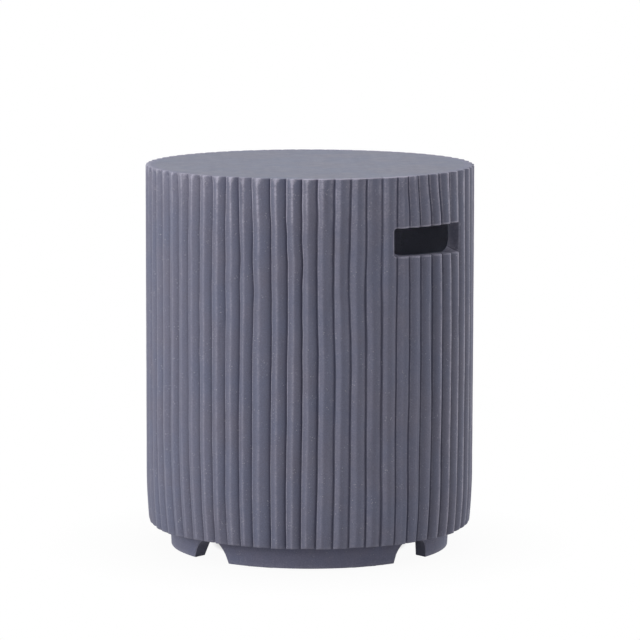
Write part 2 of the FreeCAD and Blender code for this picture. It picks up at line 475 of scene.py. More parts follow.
class NodeGraph:
    """Short calls that add shader nodes to a tree and join them."""

    def __init__(self, tree: NodeTree) -> None:
        """Keep the tree that the nodes go into."""
        self.tree = tree

    def feed(self, node: bpy.types.Node, inputs: Mapping[int | str, object]) -> None:
        """Link inputs of a node to other sockets, or set their own values.

        Args:
            node: The node.
            inputs: Socket or value for each input by its name or number.
        """
        for name, value in inputs.items():
            if isinstance(value, Socket):
                self.tree.links.new(value, node.inputs[name])
            else:
                node.inputs[name].default_value = value

    def add(self, kind: str, inputs: Mapping[int | str, object] | None = None,
            **settings: object) -> bpy.types.Node:
        """Add a node.

        Args:
            kind: Blender's name for the kind of node.
            inputs: Socket or value for each input by its name or number.
            settings: The node's own settings.

        Returns:
            The node.
        """
        node = self.tree.nodes.new(kind)
        for name, value in settings.items():
            setattr(node, name, value)
        self.feed(node, inputs or {})
        return node

    def attribute(self, name: str) -> Socket:
        """Value of a mesh attribute at the shaded point."""
        return self.add("ShaderNodeAttribute", attribute_name=name).outputs["Fac"]

    def scaled(self, vector: object, scale: tuple[float, ...]) -> Socket:
        """Vector scaled along each axis."""
        inputs = {0: vector, 1: scale}
        return self.add("ShaderNodeVectorMath", inputs, operation="MULTIPLY").outputs[0]

    def maths(self, operation: str, first: object, second: object = 0.0) -> Socket:
        """Result of an operation on one or two values."""
        return self.add("ShaderNodeMath", {0: first, 1: second}, operation=operation).outputs[0]

    def product(self, *values: object) -> Socket:
        """Product of some values."""
        return reduce(partial(self.maths, "MULTIPLY"), values)

    def total(self, *values: object) -> Socket:
        """Sum of some values."""
        return reduce(partial(self.maths, "ADD"), values)

    def noise(self, vector: object, scale: float, detail: float = 2.0,
              rough: float = 0.5) -> Socket:
        """Smooth noise of about 0.3 to 0.7."""
        inputs = {"Vector": vector, "Scale": scale, "Detail": detail, "Roughness": rough}
        return self.add("ShaderNodeTexNoise", inputs).outputs[0]

    def spots(self, vector: object, scale: float) -> Socket:
        """Distance to the nearest of many scattered points."""
        inputs = {"Vector": vector, "Scale": scale}
        return self.add("ShaderNodeTexVoronoi", inputs).outputs["Distance"]

    def remap(self, value: object, low: float, high: float, to_low: float = 0.0,
              to_high: float = 1.0) -> Socket:
        """Value carried from one range to another and held inside it."""
        inputs = dict(enumerate((value, low, high, to_low, to_high)))
        return self.add("ShaderNodeMapRange", inputs).outputs[0]

    def mix(self, share: object, first: object, second: object) -> Socket:
        """Colour mixed from two."""
        inputs = {0: share, 6: first, 7: second}
        return self.add("ShaderNodeMix", inputs, data_type="RGBA").outputs[2]

    def shade(self, colour: object, factor: object) -> Socket:
        """Colour multiplied by a brightness factor."""
        inputs = {0: colour, "Scale": factor}
        return self.add("ShaderNodeVectorMath", inputs, operation="SCALE").outputs[0]

    def seen_directly(self) -> Socket:
        """Tell rays from the camera, from reflections and through clear materials from others.

        Returns:
            One for such a ray, else zero.
        """
        path = self.add("ShaderNodeLightPath").outputs
        seen = self.maths("MAXIMUM", path["Is Camera Ray"], path["Is Glossy Ray"])
        return self.maths("MAXIMUM", seen, path["Is Transmission Ray"])


class EffectGroup(NodeGraph):
    """Shader node group with named inputs and outputs, for an effect that finishes share."""

    def __init__(self, name: str, inputs: Mapping[SocketKind, Sequence[str]],
                 outputs: Mapping[SocketKind, Sequence[str]]) -> None:
        """Make the group and its sockets.

        Args:
            name: The group's name.
            inputs: Names of the input sockets of each kind.
            outputs: Names of the output sockets of each kind.
        """
        super().__init__(bpy.data.node_groups.new(name, "ShaderNodeTree"))
        for in_out, sockets in (("INPUT", inputs), ("OUTPUT", outputs)):
            for kind, labels in sockets.items():
                for label in labels:
                    self.tree.interface.new_socket(label, in_out=in_out, socket_type=kind.value)
        self.given = self.add("NodeGroupInput").outputs
        self.result = self.add("NodeGroupOutput")


class FinishGraph(NodeGraph):
    """Nodes of one material, with its shader and the shaded place in the object's own frame."""

    def __init__(self, name: str) -> None:
        """Start a material.

        Args:
            name: The material's name.
        """
        self.material = bpy.data.materials.new(name)
        self.material.use_nodes = True
        super().__init__(self.material.node_tree)
        self.shader = self.tree.nodes["Principled BSDF"]
        self.place = self.add("ShaderNodeTexCoord").outputs["Object"]

    def coat(self, colour: object, roughness: object, gloss: float) -> None:
        """Give the shader its colour, its roughness and a gloss that is the same all over."""
        self.feed(self.shader, {"Base Color": colour, "Roughness": roughness,
                                "Specular IOR Level": gloss})

    def raise_relief(self, height: object, distance: float, strength: float) -> None:
        """Bump the surface by a height from 0 to 1, its reach in metres and its strength."""
        inputs = {"Height": height, "Distance": distance, "Strength": strength}
        self.feed(self.shader, {"Normal": self.add("ShaderNodeBump", inputs).outputs["Normal"]})


def paint_skin_group() -> NodeTree:
    """Make the group for brushed mineral paint: soft tints, upright runs, grain and pale specks.

    Returns:
        The group.
    """
    skin = EffectGroup(
        "brushed_mineral_paint",
        {SocketKind.VECTOR: ("Place",), SocketKind.COLOUR: ("Paint", "Cool Tint", "Warm Tint"),
         SocketKind.NUMBER: ("Tint Share", "Run Strength", "Grain Strength", "Speck Strength")},
        {SocketKind.COLOUR: ("Colour",), SocketKind.NUMBER: ("Roughness", "Height")})
    given, place = skin.given, skin.given["Place"]
    cloud = skin.remap(skin.noise(place, scale=17, detail=3, rough=0.6), 0.35, 0.65)
    tint = skin.mix(cloud, given["Cool Tint"], given["Warm Tint"])
    colour = skin.mix(given["Tint Share"], given["Paint"], tint)
    runs = skin.noise(skin.scaled(place, (150, 150, 7)), scale=1, detail=3, rough=0.6)
    run_light = skin.product(skin.maths("SUBTRACT", runs, 0.5), given["Run Strength"])
    grain = skin.noise(place, scale=620, detail=2, rough=0.7)
    grain_light = skin.product(skin.remap(grain, 0.3, 0.7, -1, 1), given["Grain Strength"])
    colour = skin.shade(colour, skin.total(run_light, grain_light, 1.0))
    specks = skin.remap(skin.spots(place, scale=300), 0.12, 0.27, 1, 0)
    sparse = skin.remap(skin.noise(place, scale=75, detail=2, rough=0.6), 0.50, 0.66)
    speck = skin.product(specks, sparse, given["Speck Strength"])
    lumps = skin.noise(place, scale=160, detail=3, rough=0.6)
    skin.feed(skin.result, {
        "Colour": skin.mix(speck, colour, screen_colour(176, 176, 188)),
        "Roughness": skin.remap(skin.noise(place, scale=90, detail=3), 0.3, 0.7, 0.60, 0.74),
        "Height": skin.total(skin.product(grain, 0.45), skin.product(lumps, 0.55))})
    return skin.tree


def wear_highlight_and_shade_group() -> NodeTree:
    """Make the group that lightens the colour with wear and painted highlights,
    and darkens it with painted shade.

    Returns:
        The group.
    """
    wear = EffectGroup(
        "wear_highlights_and_painted_shade",
        {SocketKind.VECTOR: ("Place",),
         SocketKind.COLOUR: ("Colour", "Wear And Highlight Colour", "Painted Shade Colour"),
         SocketKind.NUMBER: ("Wear And Highlight", "Wear And Highlight Share", "Painted Shade", "Painted Shade Share")},
        {SocketKind.COLOUR: ("Colour",)})
    given, place = wear.given, wear.given["Place"]
    patchy = wear.remap(wear.noise(place, scale=55, detail=3, rough=0.65), 0.35, 0.6, 0.45, 1)
    flecked = wear.remap(wear.noise(place, scale=380, detail=2, rough=0.7), 0.38, 0.62, 0.55, 1.3)
    # Wear and painted highlights lighten the colour; painted shade darkens it.
    edge = wear.product(given["Wear And Highlight"], given["Wear And Highlight Share"], patchy, flecked)
    painted_shade = wear.product(given["Painted Shade"], given["Painted Shade Share"])
    lightened = wear.mix(edge, given["Colour"], given["Wear And Highlight Colour"])
    wear.feed(wear.result, {"Colour": wear.mix(painted_shade, lightened, given["Painted Shade Colour"])})
    return wear.tree


@dataclass(frozen=True)
class PaintFinish:
    """Matt exterior paint on a casting: its own tints, runs, grain and wear, with painted highlights
    and painted shade.
    """

    name: str
    skin: NodeTree
    wear: NodeTree
    paint: Colour = screen_colour(122, 124, 144)
    cool_tint: Colour = screen_colour(110, 117, 148)
    warm_tint: Colour = screen_colour(130, 123, 140)
    # Colours mixed in for wear with painted highlights, and for painted shade.
    wear_highlight_colour: Colour = screen_colour(188, 185, 204)
    painted_shade_colour: Colour = screen_colour(62, 63, 78)
    tint_share: float = 0.28
    run_strength: float = 0.16
    grain_strength: float = 0.11
    speck_strength: float = 1.0
    wear_highlight_share: float = 0.55
    painted_shade_share: float = 0.3
    gloss: float = 0.4
    bump_distance: float = 0.35 * MM
    bump_strength: float = 0.5
    trowel_contrast: float = 0.0
    trowel_turn: float = math.radians(44)
    trowel_grain: tuple[float, ...] = (4, 110, 1)

    def build(self) -> Material:
        """Make the material.

        Returns:
            The material.
        """
        graph = FinishGraph(self.name)
        skin = graph.add("ShaderNodeGroup", node_tree=self.skin)
        graph.feed(skin, {
            "Place": graph.place, "Paint": self.paint, "Cool Tint": self.cool_tint,
            "Warm Tint": self.warm_tint, "Tint Share": self.tint_share,
            "Run Strength": self.run_strength, "Grain Strength": self.grain_strength,
            "Speck Strength": self.speck_strength})
        colour = skin.outputs["Colour"]
        if self.trowel_contrast:
            colour = self._trowelled(graph, colour)
        wear = graph.add("ShaderNodeGroup", node_tree=self.wear)
        graph.feed(wear, {
            "Place": graph.place, "Colour": colour, "Wear And Highlight": graph.attribute(WEAR_HIGHLIGHT_LAYER),
            "Wear And Highlight Colour": self.wear_highlight_colour, "Wear And Highlight Share": self.wear_highlight_share,
            "Painted Shade": graph.attribute(PAINTED_SHADE_LAYER), "Painted Shade Colour": self.painted_shade_colour,
            "Painted Shade Share": self.painted_shade_share})
        graph.coat(wear.outputs["Colour"], skin.outputs["Roughness"], self.gloss)
        graph.raise_relief(skin.outputs["Height"], self.bump_distance, self.bump_strength)
        return graph.material

    def _trowelled(self, graph: FinishGraph, colour: object) -> Socket:
        """Add the faint straight marks of a float that was drawn across the face.

        Args:
            graph: The material's nodes.
            colour: The paint's colour.

        Returns:
            The marked colour.
        """
        inputs = {"Vector": graph.place, "Rotation": (0, 0, self.trowel_turn)}
        turned = graph.add("ShaderNodeMapping", inputs).outputs[0]
        marks = graph.noise(graph.scaled(turned, self.trowel_grain), scale=1, detail=3, rough=0.6)
        light = graph.remap(marks, 0.3, 0.7, 1 - self.trowel_contrast, 1 + self.trowel_contrast)
        return graph.shade(colour, light)


@dataclass(frozen=True)
class RawCementFinish:
    """Bare inner face of a casting: pale cement with pores and the print of a fibre mesh."""

    name: str
    cement: Colour = screen_colour(228, 230, 244)
    dark_cement: Colour = screen_colour(216, 218, 232)
    gloss: float = 0.3
    mesh_pitch: float = 9 * MM
    mesh_radius: float = 198 * MM
    bump_distance: float = 0.8 * MM
    bump_strength: float = 0.6

    def build(self) -> Material:
        """Make the material.

        Returns:
            The material.
        """
        graph = FinishGraph(self.name)
        cloud = graph.remap(graph.noise(graph.place, scale=14, detail=4, rough=0.65), 0.35, 0.65)
        pores = graph.remap(graph.spots(graph.place, scale=260), 0.08, 0.2)
        colour = graph.shade(graph.mix(cloud, self.cement, self.dark_cement),
                             graph.remap(pores, 0, 1, 0.75, 1))
        graph.coat(colour, graph.remap(cloud, 0, 1, 0.8, 0.92), self.gloss)
        height = graph.total(graph.product(self._mesh_print(graph), 0.6), graph.product(pores, 0.4))
        graph.raise_relief(height, self.bump_distance, self.bump_strength)
        return graph.material

    def _mesh_print(self, graph: FinishGraph) -> Socket:
        """Make the grid that the fibre mesh leaves, level round the wall and upright.

        Args:
            graph: The material's nodes.

        Returns:
            The grid's height.
        """
        parts = graph.add("ShaderNodeSeparateXYZ", {0: graph.place}).outputs
        angle = graph.maths("ARCTAN2", parts["Y"], parts["X"])
        threads_round = round(FULL_TURN * self.mesh_radius / self.mesh_pitch)
        round_wave = graph.maths("SINE", graph.product(angle, threads_round))
        up_wave = graph.maths("SINE", graph.product(parts["Z"], FULL_TURN / self.mesh_pitch))
        threads = graph.remap(graph.maths("MAXIMUM", round_wave, up_wave), 0.6, 1)
        patchy = graph.remap(graph.noise(graph.place, scale=22), 0.4, 0.6, 0.1)
        return graph.product(threads, patchy)


@dataclass(frozen=True)
class FoamRubberFinish:
    """Dense grey foam rubber with fine open cells and some dust."""

    name: str
    rubber: Colour = screen_colour(98, 99, 104)
    dust: Colour = screen_colour(140, 140, 144)
    gloss: float = 0.3
    bump_distance: float = 0.2 * MM

    def build(self) -> Material:
        """Make the material.

        Returns:
            The material.
        """
        graph = FinishGraph(self.name)
        cells = graph.remap(graph.spots(graph.place, scale=1500), 0.1, 0.5)
        dust = graph.noise(graph.place, scale=180, detail=3, rough=0.7)
        colour = graph.mix(graph.remap(dust, 0.5, 0.8, 0, 0.4), self.rubber, self.dust)
        graph.coat(graph.shade(colour, graph.remap(cells, 0, 1, 0.7, 1.05)),
                   graph.remap(cells, 0, 1, 0.95, 0.8), self.gloss)
        graph.raise_relief(cells, self.bump_distance, 1.0)
        return graph.material


@dataclass(frozen=True)
class Finishes:
    """The materials of the object, each built once."""

    wall_paint: Material
    top_paint: Material
    plinth_paint_painted_lighter: Material
    raw_cement: Material
    foam_rubber: Material

    @classmethod
    def build(cls) -> Finishes:
        """Make every material of the object.

        Returns:
            The materials.
        """
        wall = PaintFinish("wall_paint", paint_skin_group(), wear_highlight_and_shade_group())
        top = replace(wall, name="top_paint", paint=screen_colour(121, 125, 140), tint_share=0.25,
                      run_strength=0.0, grain_strength=0.045, speck_strength=0.12,
                      trowel_contrast=0.035)
        # Painted light: the plinth's paint is a lighter, bluer copy of the wall's, with its own runs
        # and grain.
        plinth = replace(wall, name="plinth_paint_painted_lighter", paint=screen_colour(124, 126, 150),
                         run_strength=0.05, grain_strength=0.14, speck_strength=0.6)
        return cls(wall.build(), top.build(), plinth.build(),
                   RawCementFinish("raw_cement").build(), FoamRubberFinish("foam_rubber").build())


def number_faces(bm: BMesh, is_bare: Callable[[Vector], bool]) -> None:
    """Give a casting's faces their finishes.

    Args:
        bm: The casting's mesh.
        is_bare: Says from a face's centre whether it is bare cement, and not painted.
    """
    for face in bm.faces:
        bare = is_bare(face.calc_center_median())
        face.material_index = (Surface.RAW_CEMENT if bare else Surface.PAINT).value


def finish_piece(bm: BMesh, name: str, node: str,
                 materials: Sequence[Material], crease: float) -> bpy.types.Object:
    """Turn a mesh into a named piece that stands for a node of the construction model.

    Args:
        bm: The finished mesh, which is freed.
        name: The piece's name.
        node: The node that the piece stands for.
        materials: The piece's materials, in the order of its faces' material numbers.
        crease: Angle above which an edge stays crisp.

    Returns:
        The piece.
    """
    mesh = bpy.data.meshes.new(name)
    bm.to_mesh(mesh)
    bm.free()
    mesh.shade_smooth()
    mesh.set_sharp_from_angle(angle=crease)
    for material in materials:
        mesh.materials.append(material)
    piece = bpy.data.objects.new(name, mesh)
    bpy.context.scene.collection.objects.link(piece)
    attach(piece, BODY)
    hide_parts(node)
    mesh.calc_loop_triangles()
    LOG.info("%s: %d triangles", name, len(mesh.loop_triangles))
    return piece


@dataclass(frozen=True)
class RibStation:
    """Place of one mesh column in a rib's section, with its amounts of wear and painted highlight
    and of painted shade, on leaning and on stepped ribs.
    """

    stretch: Stretch
    share: float
    edge: float
    painted_shade: float
    stepped_edge: float
    stepped_painted_shade: float


# Painted highlights on arrises and ridges by the wear amounts; painted shade in the grooves.
RIB_STATIONS = tuple(RibStation(*row) for row in (
    (Stretch.RISE, 0.0, 0.0, 1.0, 0.0, 1.0),
    (Stretch.RISE, 0.5, 0.2, 0.6, 0.1, 0.6),
    (Stretch.RISE, 1.0, 2.3, 0.0, 1.4, 0.0),
    (Stretch.LEFT, 0.12, 0.1, 0.3, 0.6, 0.0),
    (Stretch.LEFT, 0.38, 0.0, 0.25, 0.5, 0.0),
    (Stretch.LEFT, 0.70, 0.1, 0.0, 0.5, 0.0),
    (Stretch.LEFT, 0.90, 0.6, 0.0, 0.5, 0.0),
    (Stretch.LEFT, 1.0, 0.9, 0.0, 0.4, 0.0),
    (Stretch.RIGHT, 0.07, 0.6, 0.0, 0.1, 0.0),
    (Stretch.RIGHT, 0.20, 0.1, 0.0, 0.0, 0.2),
    (Stretch.RIGHT, 0.40, 0.0, 0.0, 0.0, 0.25),
    (Stretch.RIGHT, 0.62, 0.0, 0.1, 0.35, 0.0),
    (Stretch.RIGHT, 0.82, 0.0, 0.4, 0.85, 0.0),
    (Stretch.RIGHT, 1.0, 0.0, 0.9, 0.0, 0.7),
    (Stretch.FALL, 0.5, 0.0, 1.0, 0.0, 1.0),
))


@dataclass(frozen=True)
class Rib:
    """One rib's own hand-finished traits."""

    ridge_share: float
    left_drop: float
    left_swell: float
    right_drop: float
    right_swell: float
    ridge_bead: float
    bead_half_width: float
    stepped: float
    rounded: float
    groove_depth: float
    top_chamfer: float
    foot_rounding: float
    foot_raise: float


@dataclass(frozen=True)
class RibSection:
    """One rib at one height: where it starts and ends round the drum, and its shape between."""

    start: float
    end: float
    ridge: float
    slope_share: float
    left_drop: float
    right_drop: float
    groove_depth: float


@dataclass
class RibPattern:
    """Outline of the fluted drum at any height: where the grooves run and how the ribs stand out.

    The ribs lean: seen from outside, each rises in a low facet from its left arris to a soft ridge
    and falls away more steeply on its right, down into the groove. On the stepped ribs the ridge
    lies further left, and a second, lower shoulder stands before the groove. Sways are in degrees,
    and a lift is a height measured in lift heights.
    """

    crest_radius: float
    count: int = 66
    seed: int = 11
    first_groove: float = math.radians(-43.7)
    stretch: float = 0.035
    stretch_centre: float = math.radians(-6)
    width_jitter: float = 0.035
    width_changes: tuple[tuple[int, float], ...] = (
        (-5, -0.14), (-4, 0.16), (-3, -0.04), (-2, -0.03), (0, 0.05), (3, 0.07), (5, -0.05),
        (6, -0.09), (7, 0.02), (11, 0.16))
    rounded_ribs: Sector = Sector(80, 0.6, 0.3)
    stepped_ribs: Sector = Sector(90, -0.12, 0.35)
    flat_ribs: Sector = Sector(-90, 0.55, 0.35)
    groove_half_width: float = 1.2 * MM
    arris_rounding: float = 0.12 * MM
    ridge_rounding: float = 0.3 * MM
    rounding_rise: float = 0.69  # how far a soft maximum of equal values rises, in its roundings
    ridge_range: Pair = (0.36, 0.48)
    ridge_pull: float = 0.15
    ridge_shift: float = 0.2
    left_drop_range: Pair = (1.5 * MM, 2.1 * MM)
    left_steepening: float = 0.8
    left_lowering: float = 0.3
    left_swell_gain: float = 0.9
    right_drop_range: Pair = (4.5 * MM, 5.3 * MM)
    right_flattening: float = 0.25
    stepped_shallowing: float = 0.22
    right_swell: float = 1.75
    stepped_swell: float = 8.0
    ridge_bead: float = 0.5 * MM
    stepped_bead: float = 1.4 * MM
    bead_half_width: float = 1.9 * MM
    stepped_bead_half_width: float = 3.2 * MM
    groove_depth: float = 6.2 * MM
    groove_depth_range: Pair = (0.92, 1.0)
    relief_change: float = 0.22
    relief_centre: float = math.radians(-75)
    top_chamfer_range: Pair = (0.9 * MM, 2.2 * MM)
    foot_rounding_range: Pair = (1.8 * MM, 3.6 * MM)
    foot_raise_range: Pair = (0.0, 1.3 * MM)
    slope_ripple: Ripple = Ripple(0.4, 9.1, 14, 7.7)
    ridge_ripple: Ripple = Ripple(0.05, 5.3, 11, 2.6)
    left_ripple: Ripple = Ripple(0.15, 2.9, 9, 4.4)
    right_ripple: Ripple = Ripple(0.10, 6.1, 8, 1.4)
    depth_ripple: Ripple = Ripple(0.08, 4.7, 12, 9.3)
    lift_height: float = 0.5
    slow_sway: RoundRipple = RoundRipple(0.45, 2.2, 2.3, (5, 0))
    group_sway: RoundRipple = RoundRipple(0.28, 6, 4.5, (0, 3))
    own_sway: Ripple = Ripple(0.24, 7.31, 6.5, 1.7)
    quick_sway: Ripple = Ripple(0.16, 3.17, 17, 8.1)
    least_unrest: float = 0.5
    unrest_lift: Pair = (0.35, 0.4)
    unrestful_front: Sector = Sector(-25, 0.75, 0.2)
    front_unrest: float = 0.9
    front_unrest_lift: Pair = (0.65, 0.2)
    right_group: Sector = Sector(68, 0.85, 0.15)
    right_bow: float = 1.5
    right_bow_share: float = 0.6
    left_group: Sector = Sector(-60, 0.85, 0.15)
    left_drift: float = 1.6
    left_drift_lift: Pair = (0.36, -0.3)
    over_opening: Sector = Sector(47.3, 0.965, 0.03)
    opening_drift: float = 1.0
    opening_drift_lift: Pair = (0.885, 0.12)

    def __post_init__(self) -> None:
        """Draw the ribs' widths and traits."""
        self.rows: dict[float, list[RibSection]] = {}
        draw = random.Random(self.seed)
        mean = FULL_TURN / self.count
        widths = []
        for index in range(self.count):
            angle = self.first_groove + (index + 0.5) * mean
            stretched = 1 + self.stretch * math.cos(angle - self.stretch_centre)
            widths.append(stretched + draw.uniform(-self.width_jitter, self.width_jitter))
        for index, change in self.width_changes:
            widths[index] += change
        scale = FULL_TURN / sum(widths)
        self.grooves = [self.first_groove]
        for width in widths:
            self.grooves.append(self.grooves[-1] + width * scale)
        self.ribs = [self._rib(draw, groove, groove + mean / 2) for groove in self.grooves[:-1]]

    def _rib(self, draw: random.Random, groove: float, middle: float) -> Rib:
        """Draw one rib's traits.

        Args:
            draw: The source of chance, which gives the traits in the order written here.
            groove: Angle of the rib's left groove.
            middle: Angle of the rib's middle.

        Returns:
            The rib.
        """
        relief = 1 + self.relief_change * math.cos(groove - self.relief_centre)
        rounded = self.rounded_ribs.share(middle)
        stepped = self.stepped_ribs.share(middle) * (1 - rounded)
        shallowing = self.stepped_shallowing * stepped
        left_change = self.left_steepening * rounded - self.left_lowering * stepped
        right_change = self.right_flattening * self.flat_ribs.share(middle) + shallowing
        return Rib(
            ridge_share=(draw.uniform(*self.ridge_range) - self.ridge_pull * stepped
                         + self.ridge_shift * rounded),
            left_drop=draw.uniform(*self.left_drop_range) * (1 + left_change),
            left_swell=1 + self.left_swell_gain * rounded,
            right_drop=draw.uniform(*self.right_drop_range) * relief * (1 - right_change),
            right_swell=between(self.right_swell, self.stepped_swell, stepped),
            ridge_bead=between(self.ridge_bead, self.stepped_bead, stepped),
            bead_half_width=between(self.bead_half_width, self.stepped_bead_half_width, stepped),
            stepped=stepped, rounded=rounded,
            groove_depth=(self.groove_depth * draw.uniform(*self.groove_depth_range) * relief
                          * (1 - shallowing)),
            top_chamfer=draw.uniform(*self.top_chamfer_range),
            foot_rounding=draw.uniform(*self.foot_rounding_range),
            foot_raise=draw.uniform(*self.foot_raise_range))

    @property
    def columns(self) -> int:
        """Number of mesh columns round the drum."""
        return self.count * len(RIB_STATIONS)

    def groove_angle(self, index: int, height: float) -> float:
        """Find a groove: at its place, with a sway that its neighbours share and one of its own.

        Args:
            index: Number of the groove.
            height: Height in the frame.

        Returns:
            The groove's angle.
        """
        place = self.grooves[index]
        lift = height / self.lift_height
        unrest = self.least_unrest + (1 - self.least_unrest) * rising(lift, *self.unrest_lift)
        quick_unrest = unrest + (self.front_unrest * self.unrestful_front.share(place)
                                 * rising(lift, *self.front_unrest_lift))
        x, y = math.cos(place), math.sin(place)
        sway = self.slow_sway.at(x, y, lift)
        sway += unrest * (self.group_sway.at(x, y, lift) + self.own_sway.at(index, lift))
        sway += quick_unrest * self.quick_sway.at(index, lift)
        return place + math.radians(sway + self._drift(place, lift))

    def _drift(self, place: float, lift: float) -> float:
        """Bow or drift whole groups of ribs, as the mould's strips were laid.

        Args:
            place: Angle of a groove.
            lift: Height measured in lift heights.

        Returns:
            The group's drift in degrees.
        """
        arch = 1 - ((lift - 0.5) / 0.5) ** 2
        bow = self.right_bow * self.right_group.share(place) * (arch - self.right_bow_share)
        drift = (self.left_drift * self.left_group.share(place)
                 * rising(lift, *self.left_drift_lift))
        drift_back = (self.opening_drift * self.over_opening.share(place)
                      * rising(lift, *self.opening_drift_lift))
        return bow + drift - drift_back

    def at(self, column: int, height: float) -> Pair:
        """Find a mesh column at a height.

        Args:
            column: Number of the column from the first groove.
            height: Height in the frame.

        Returns:
            Its angle, and its share of the way across its rib.
        """
        index, step = divmod(column, len(RIB_STATIONS))
        station = RIB_STATIONS[step]
        rib = self.row(height)[index]
        slope = rib.slope_share
        start, end = {Stretch.RISE: (0.0, slope), Stretch.LEFT: (slope, rib.ridge),
                      Stretch.RIGHT: (rib.ridge, 1 - slope),
                      Stretch.FALL: (1 - slope, 1.0)}[station.stretch]
        share = between(start, end, station.share)
        return between(rib.start, rib.end, share), share

    def row(self, height: float) -> list[RibSection]:
        """Work out the sections of all ribs at a height, once for each height.

        Args:
            height: Height in the frame.

        Returns:
            The sections.
        """
        key = round(height, 6)  # to a thousandth of a millimetre
        if key not in self.rows:
            angles = [self.groove_angle(index, height) for index in range(self.count)]
            angles.append(angles[0] + FULL_TURN)
            self.rows[key] = [self._section(index, height, *angles[index:index + 2])
                              for index in range(self.count)]
        return self.rows[key]

    def _section(self, index: int, height: float, start: float, end: float) -> RibSection:
        """Work out one rib's section, with the slow changes of a hand-finished mould.

        Args:
            index: Number of the rib.
            height: Height in the frame.
            start: Angle of its left groove.
            end: Angle of its right groove.

        Returns:
            The section.
        """
        rib = self.ribs[index]
        half_width = self.groove_half_width * (1 + self.slope_ripple.at(index, height))
        return RibSection(
            start, end, ridge=rib.ridge_share + self.ridge_ripple.at(index, height),
            slope_share=half_width / (self.crest_radius * (end - start)),
            left_drop=rib.left_drop * (1 + self.left_ripple.at(index, height)),
            right_drop=rib.right_drop * (1 + self.right_ripple.at(index, height)),
            groove_depth=rib.groove_depth * (1 + self.depth_ripple.at(index, height)))

    def depth(self, column: int, share: float, height: float) -> float:
        """Work out how far the surface lies below the crest radius.

        Args:
            column: Number of the mesh column.
            share: Share of the way across the rib.
            height: Height in the frame.

        Returns:
            The depth.
        """
        own = self.ribs[column // len(RIB_STATIONS)]
        rib = self.row(height)[column // len(RIB_STATIONS)]
        slope = rib.slope_share
        up_left = 1 - (share - slope) / (rib.ridge - slope)
        left = rib.left_drop * math.copysign(abs(up_left) ** own.left_swell, up_left)
        across = (share - rib.ridge) / (1 - slope - rib.ridge)
        right = ((rib.right_drop - own.ridge_bead)
                 * math.copysign(abs(across) ** own.right_swell, across))
        from_ridge = ((share - rib.ridge) * (rib.end - rib.start) * self.crest_radius
                      / own.bead_half_width)
        facets = soft_max((left, right), self.ridge_rounding)
        facets -= self.rounding_rise * self.ridge_rounding
        facets += own.ridge_bead * (1 - math.exp(-from_ridge ** 2))
        rise = between(rib.groove_depth, rib.left_drop, share / slope)
        fall = between(rib.groove_depth, rib.right_drop, (1 - share) / slope)
        return soft_max((facets, rise, fall), self.arris_rounding)


@dataclass(frozen=True)
class WallPoint:
    """A point of the drum's outside, on one mesh column of one rib."""

    rib: Rib
    station: RibStation
    share: float
    angle: float
    height: float
    depth: float
    below_rim: float
    above_foot: float


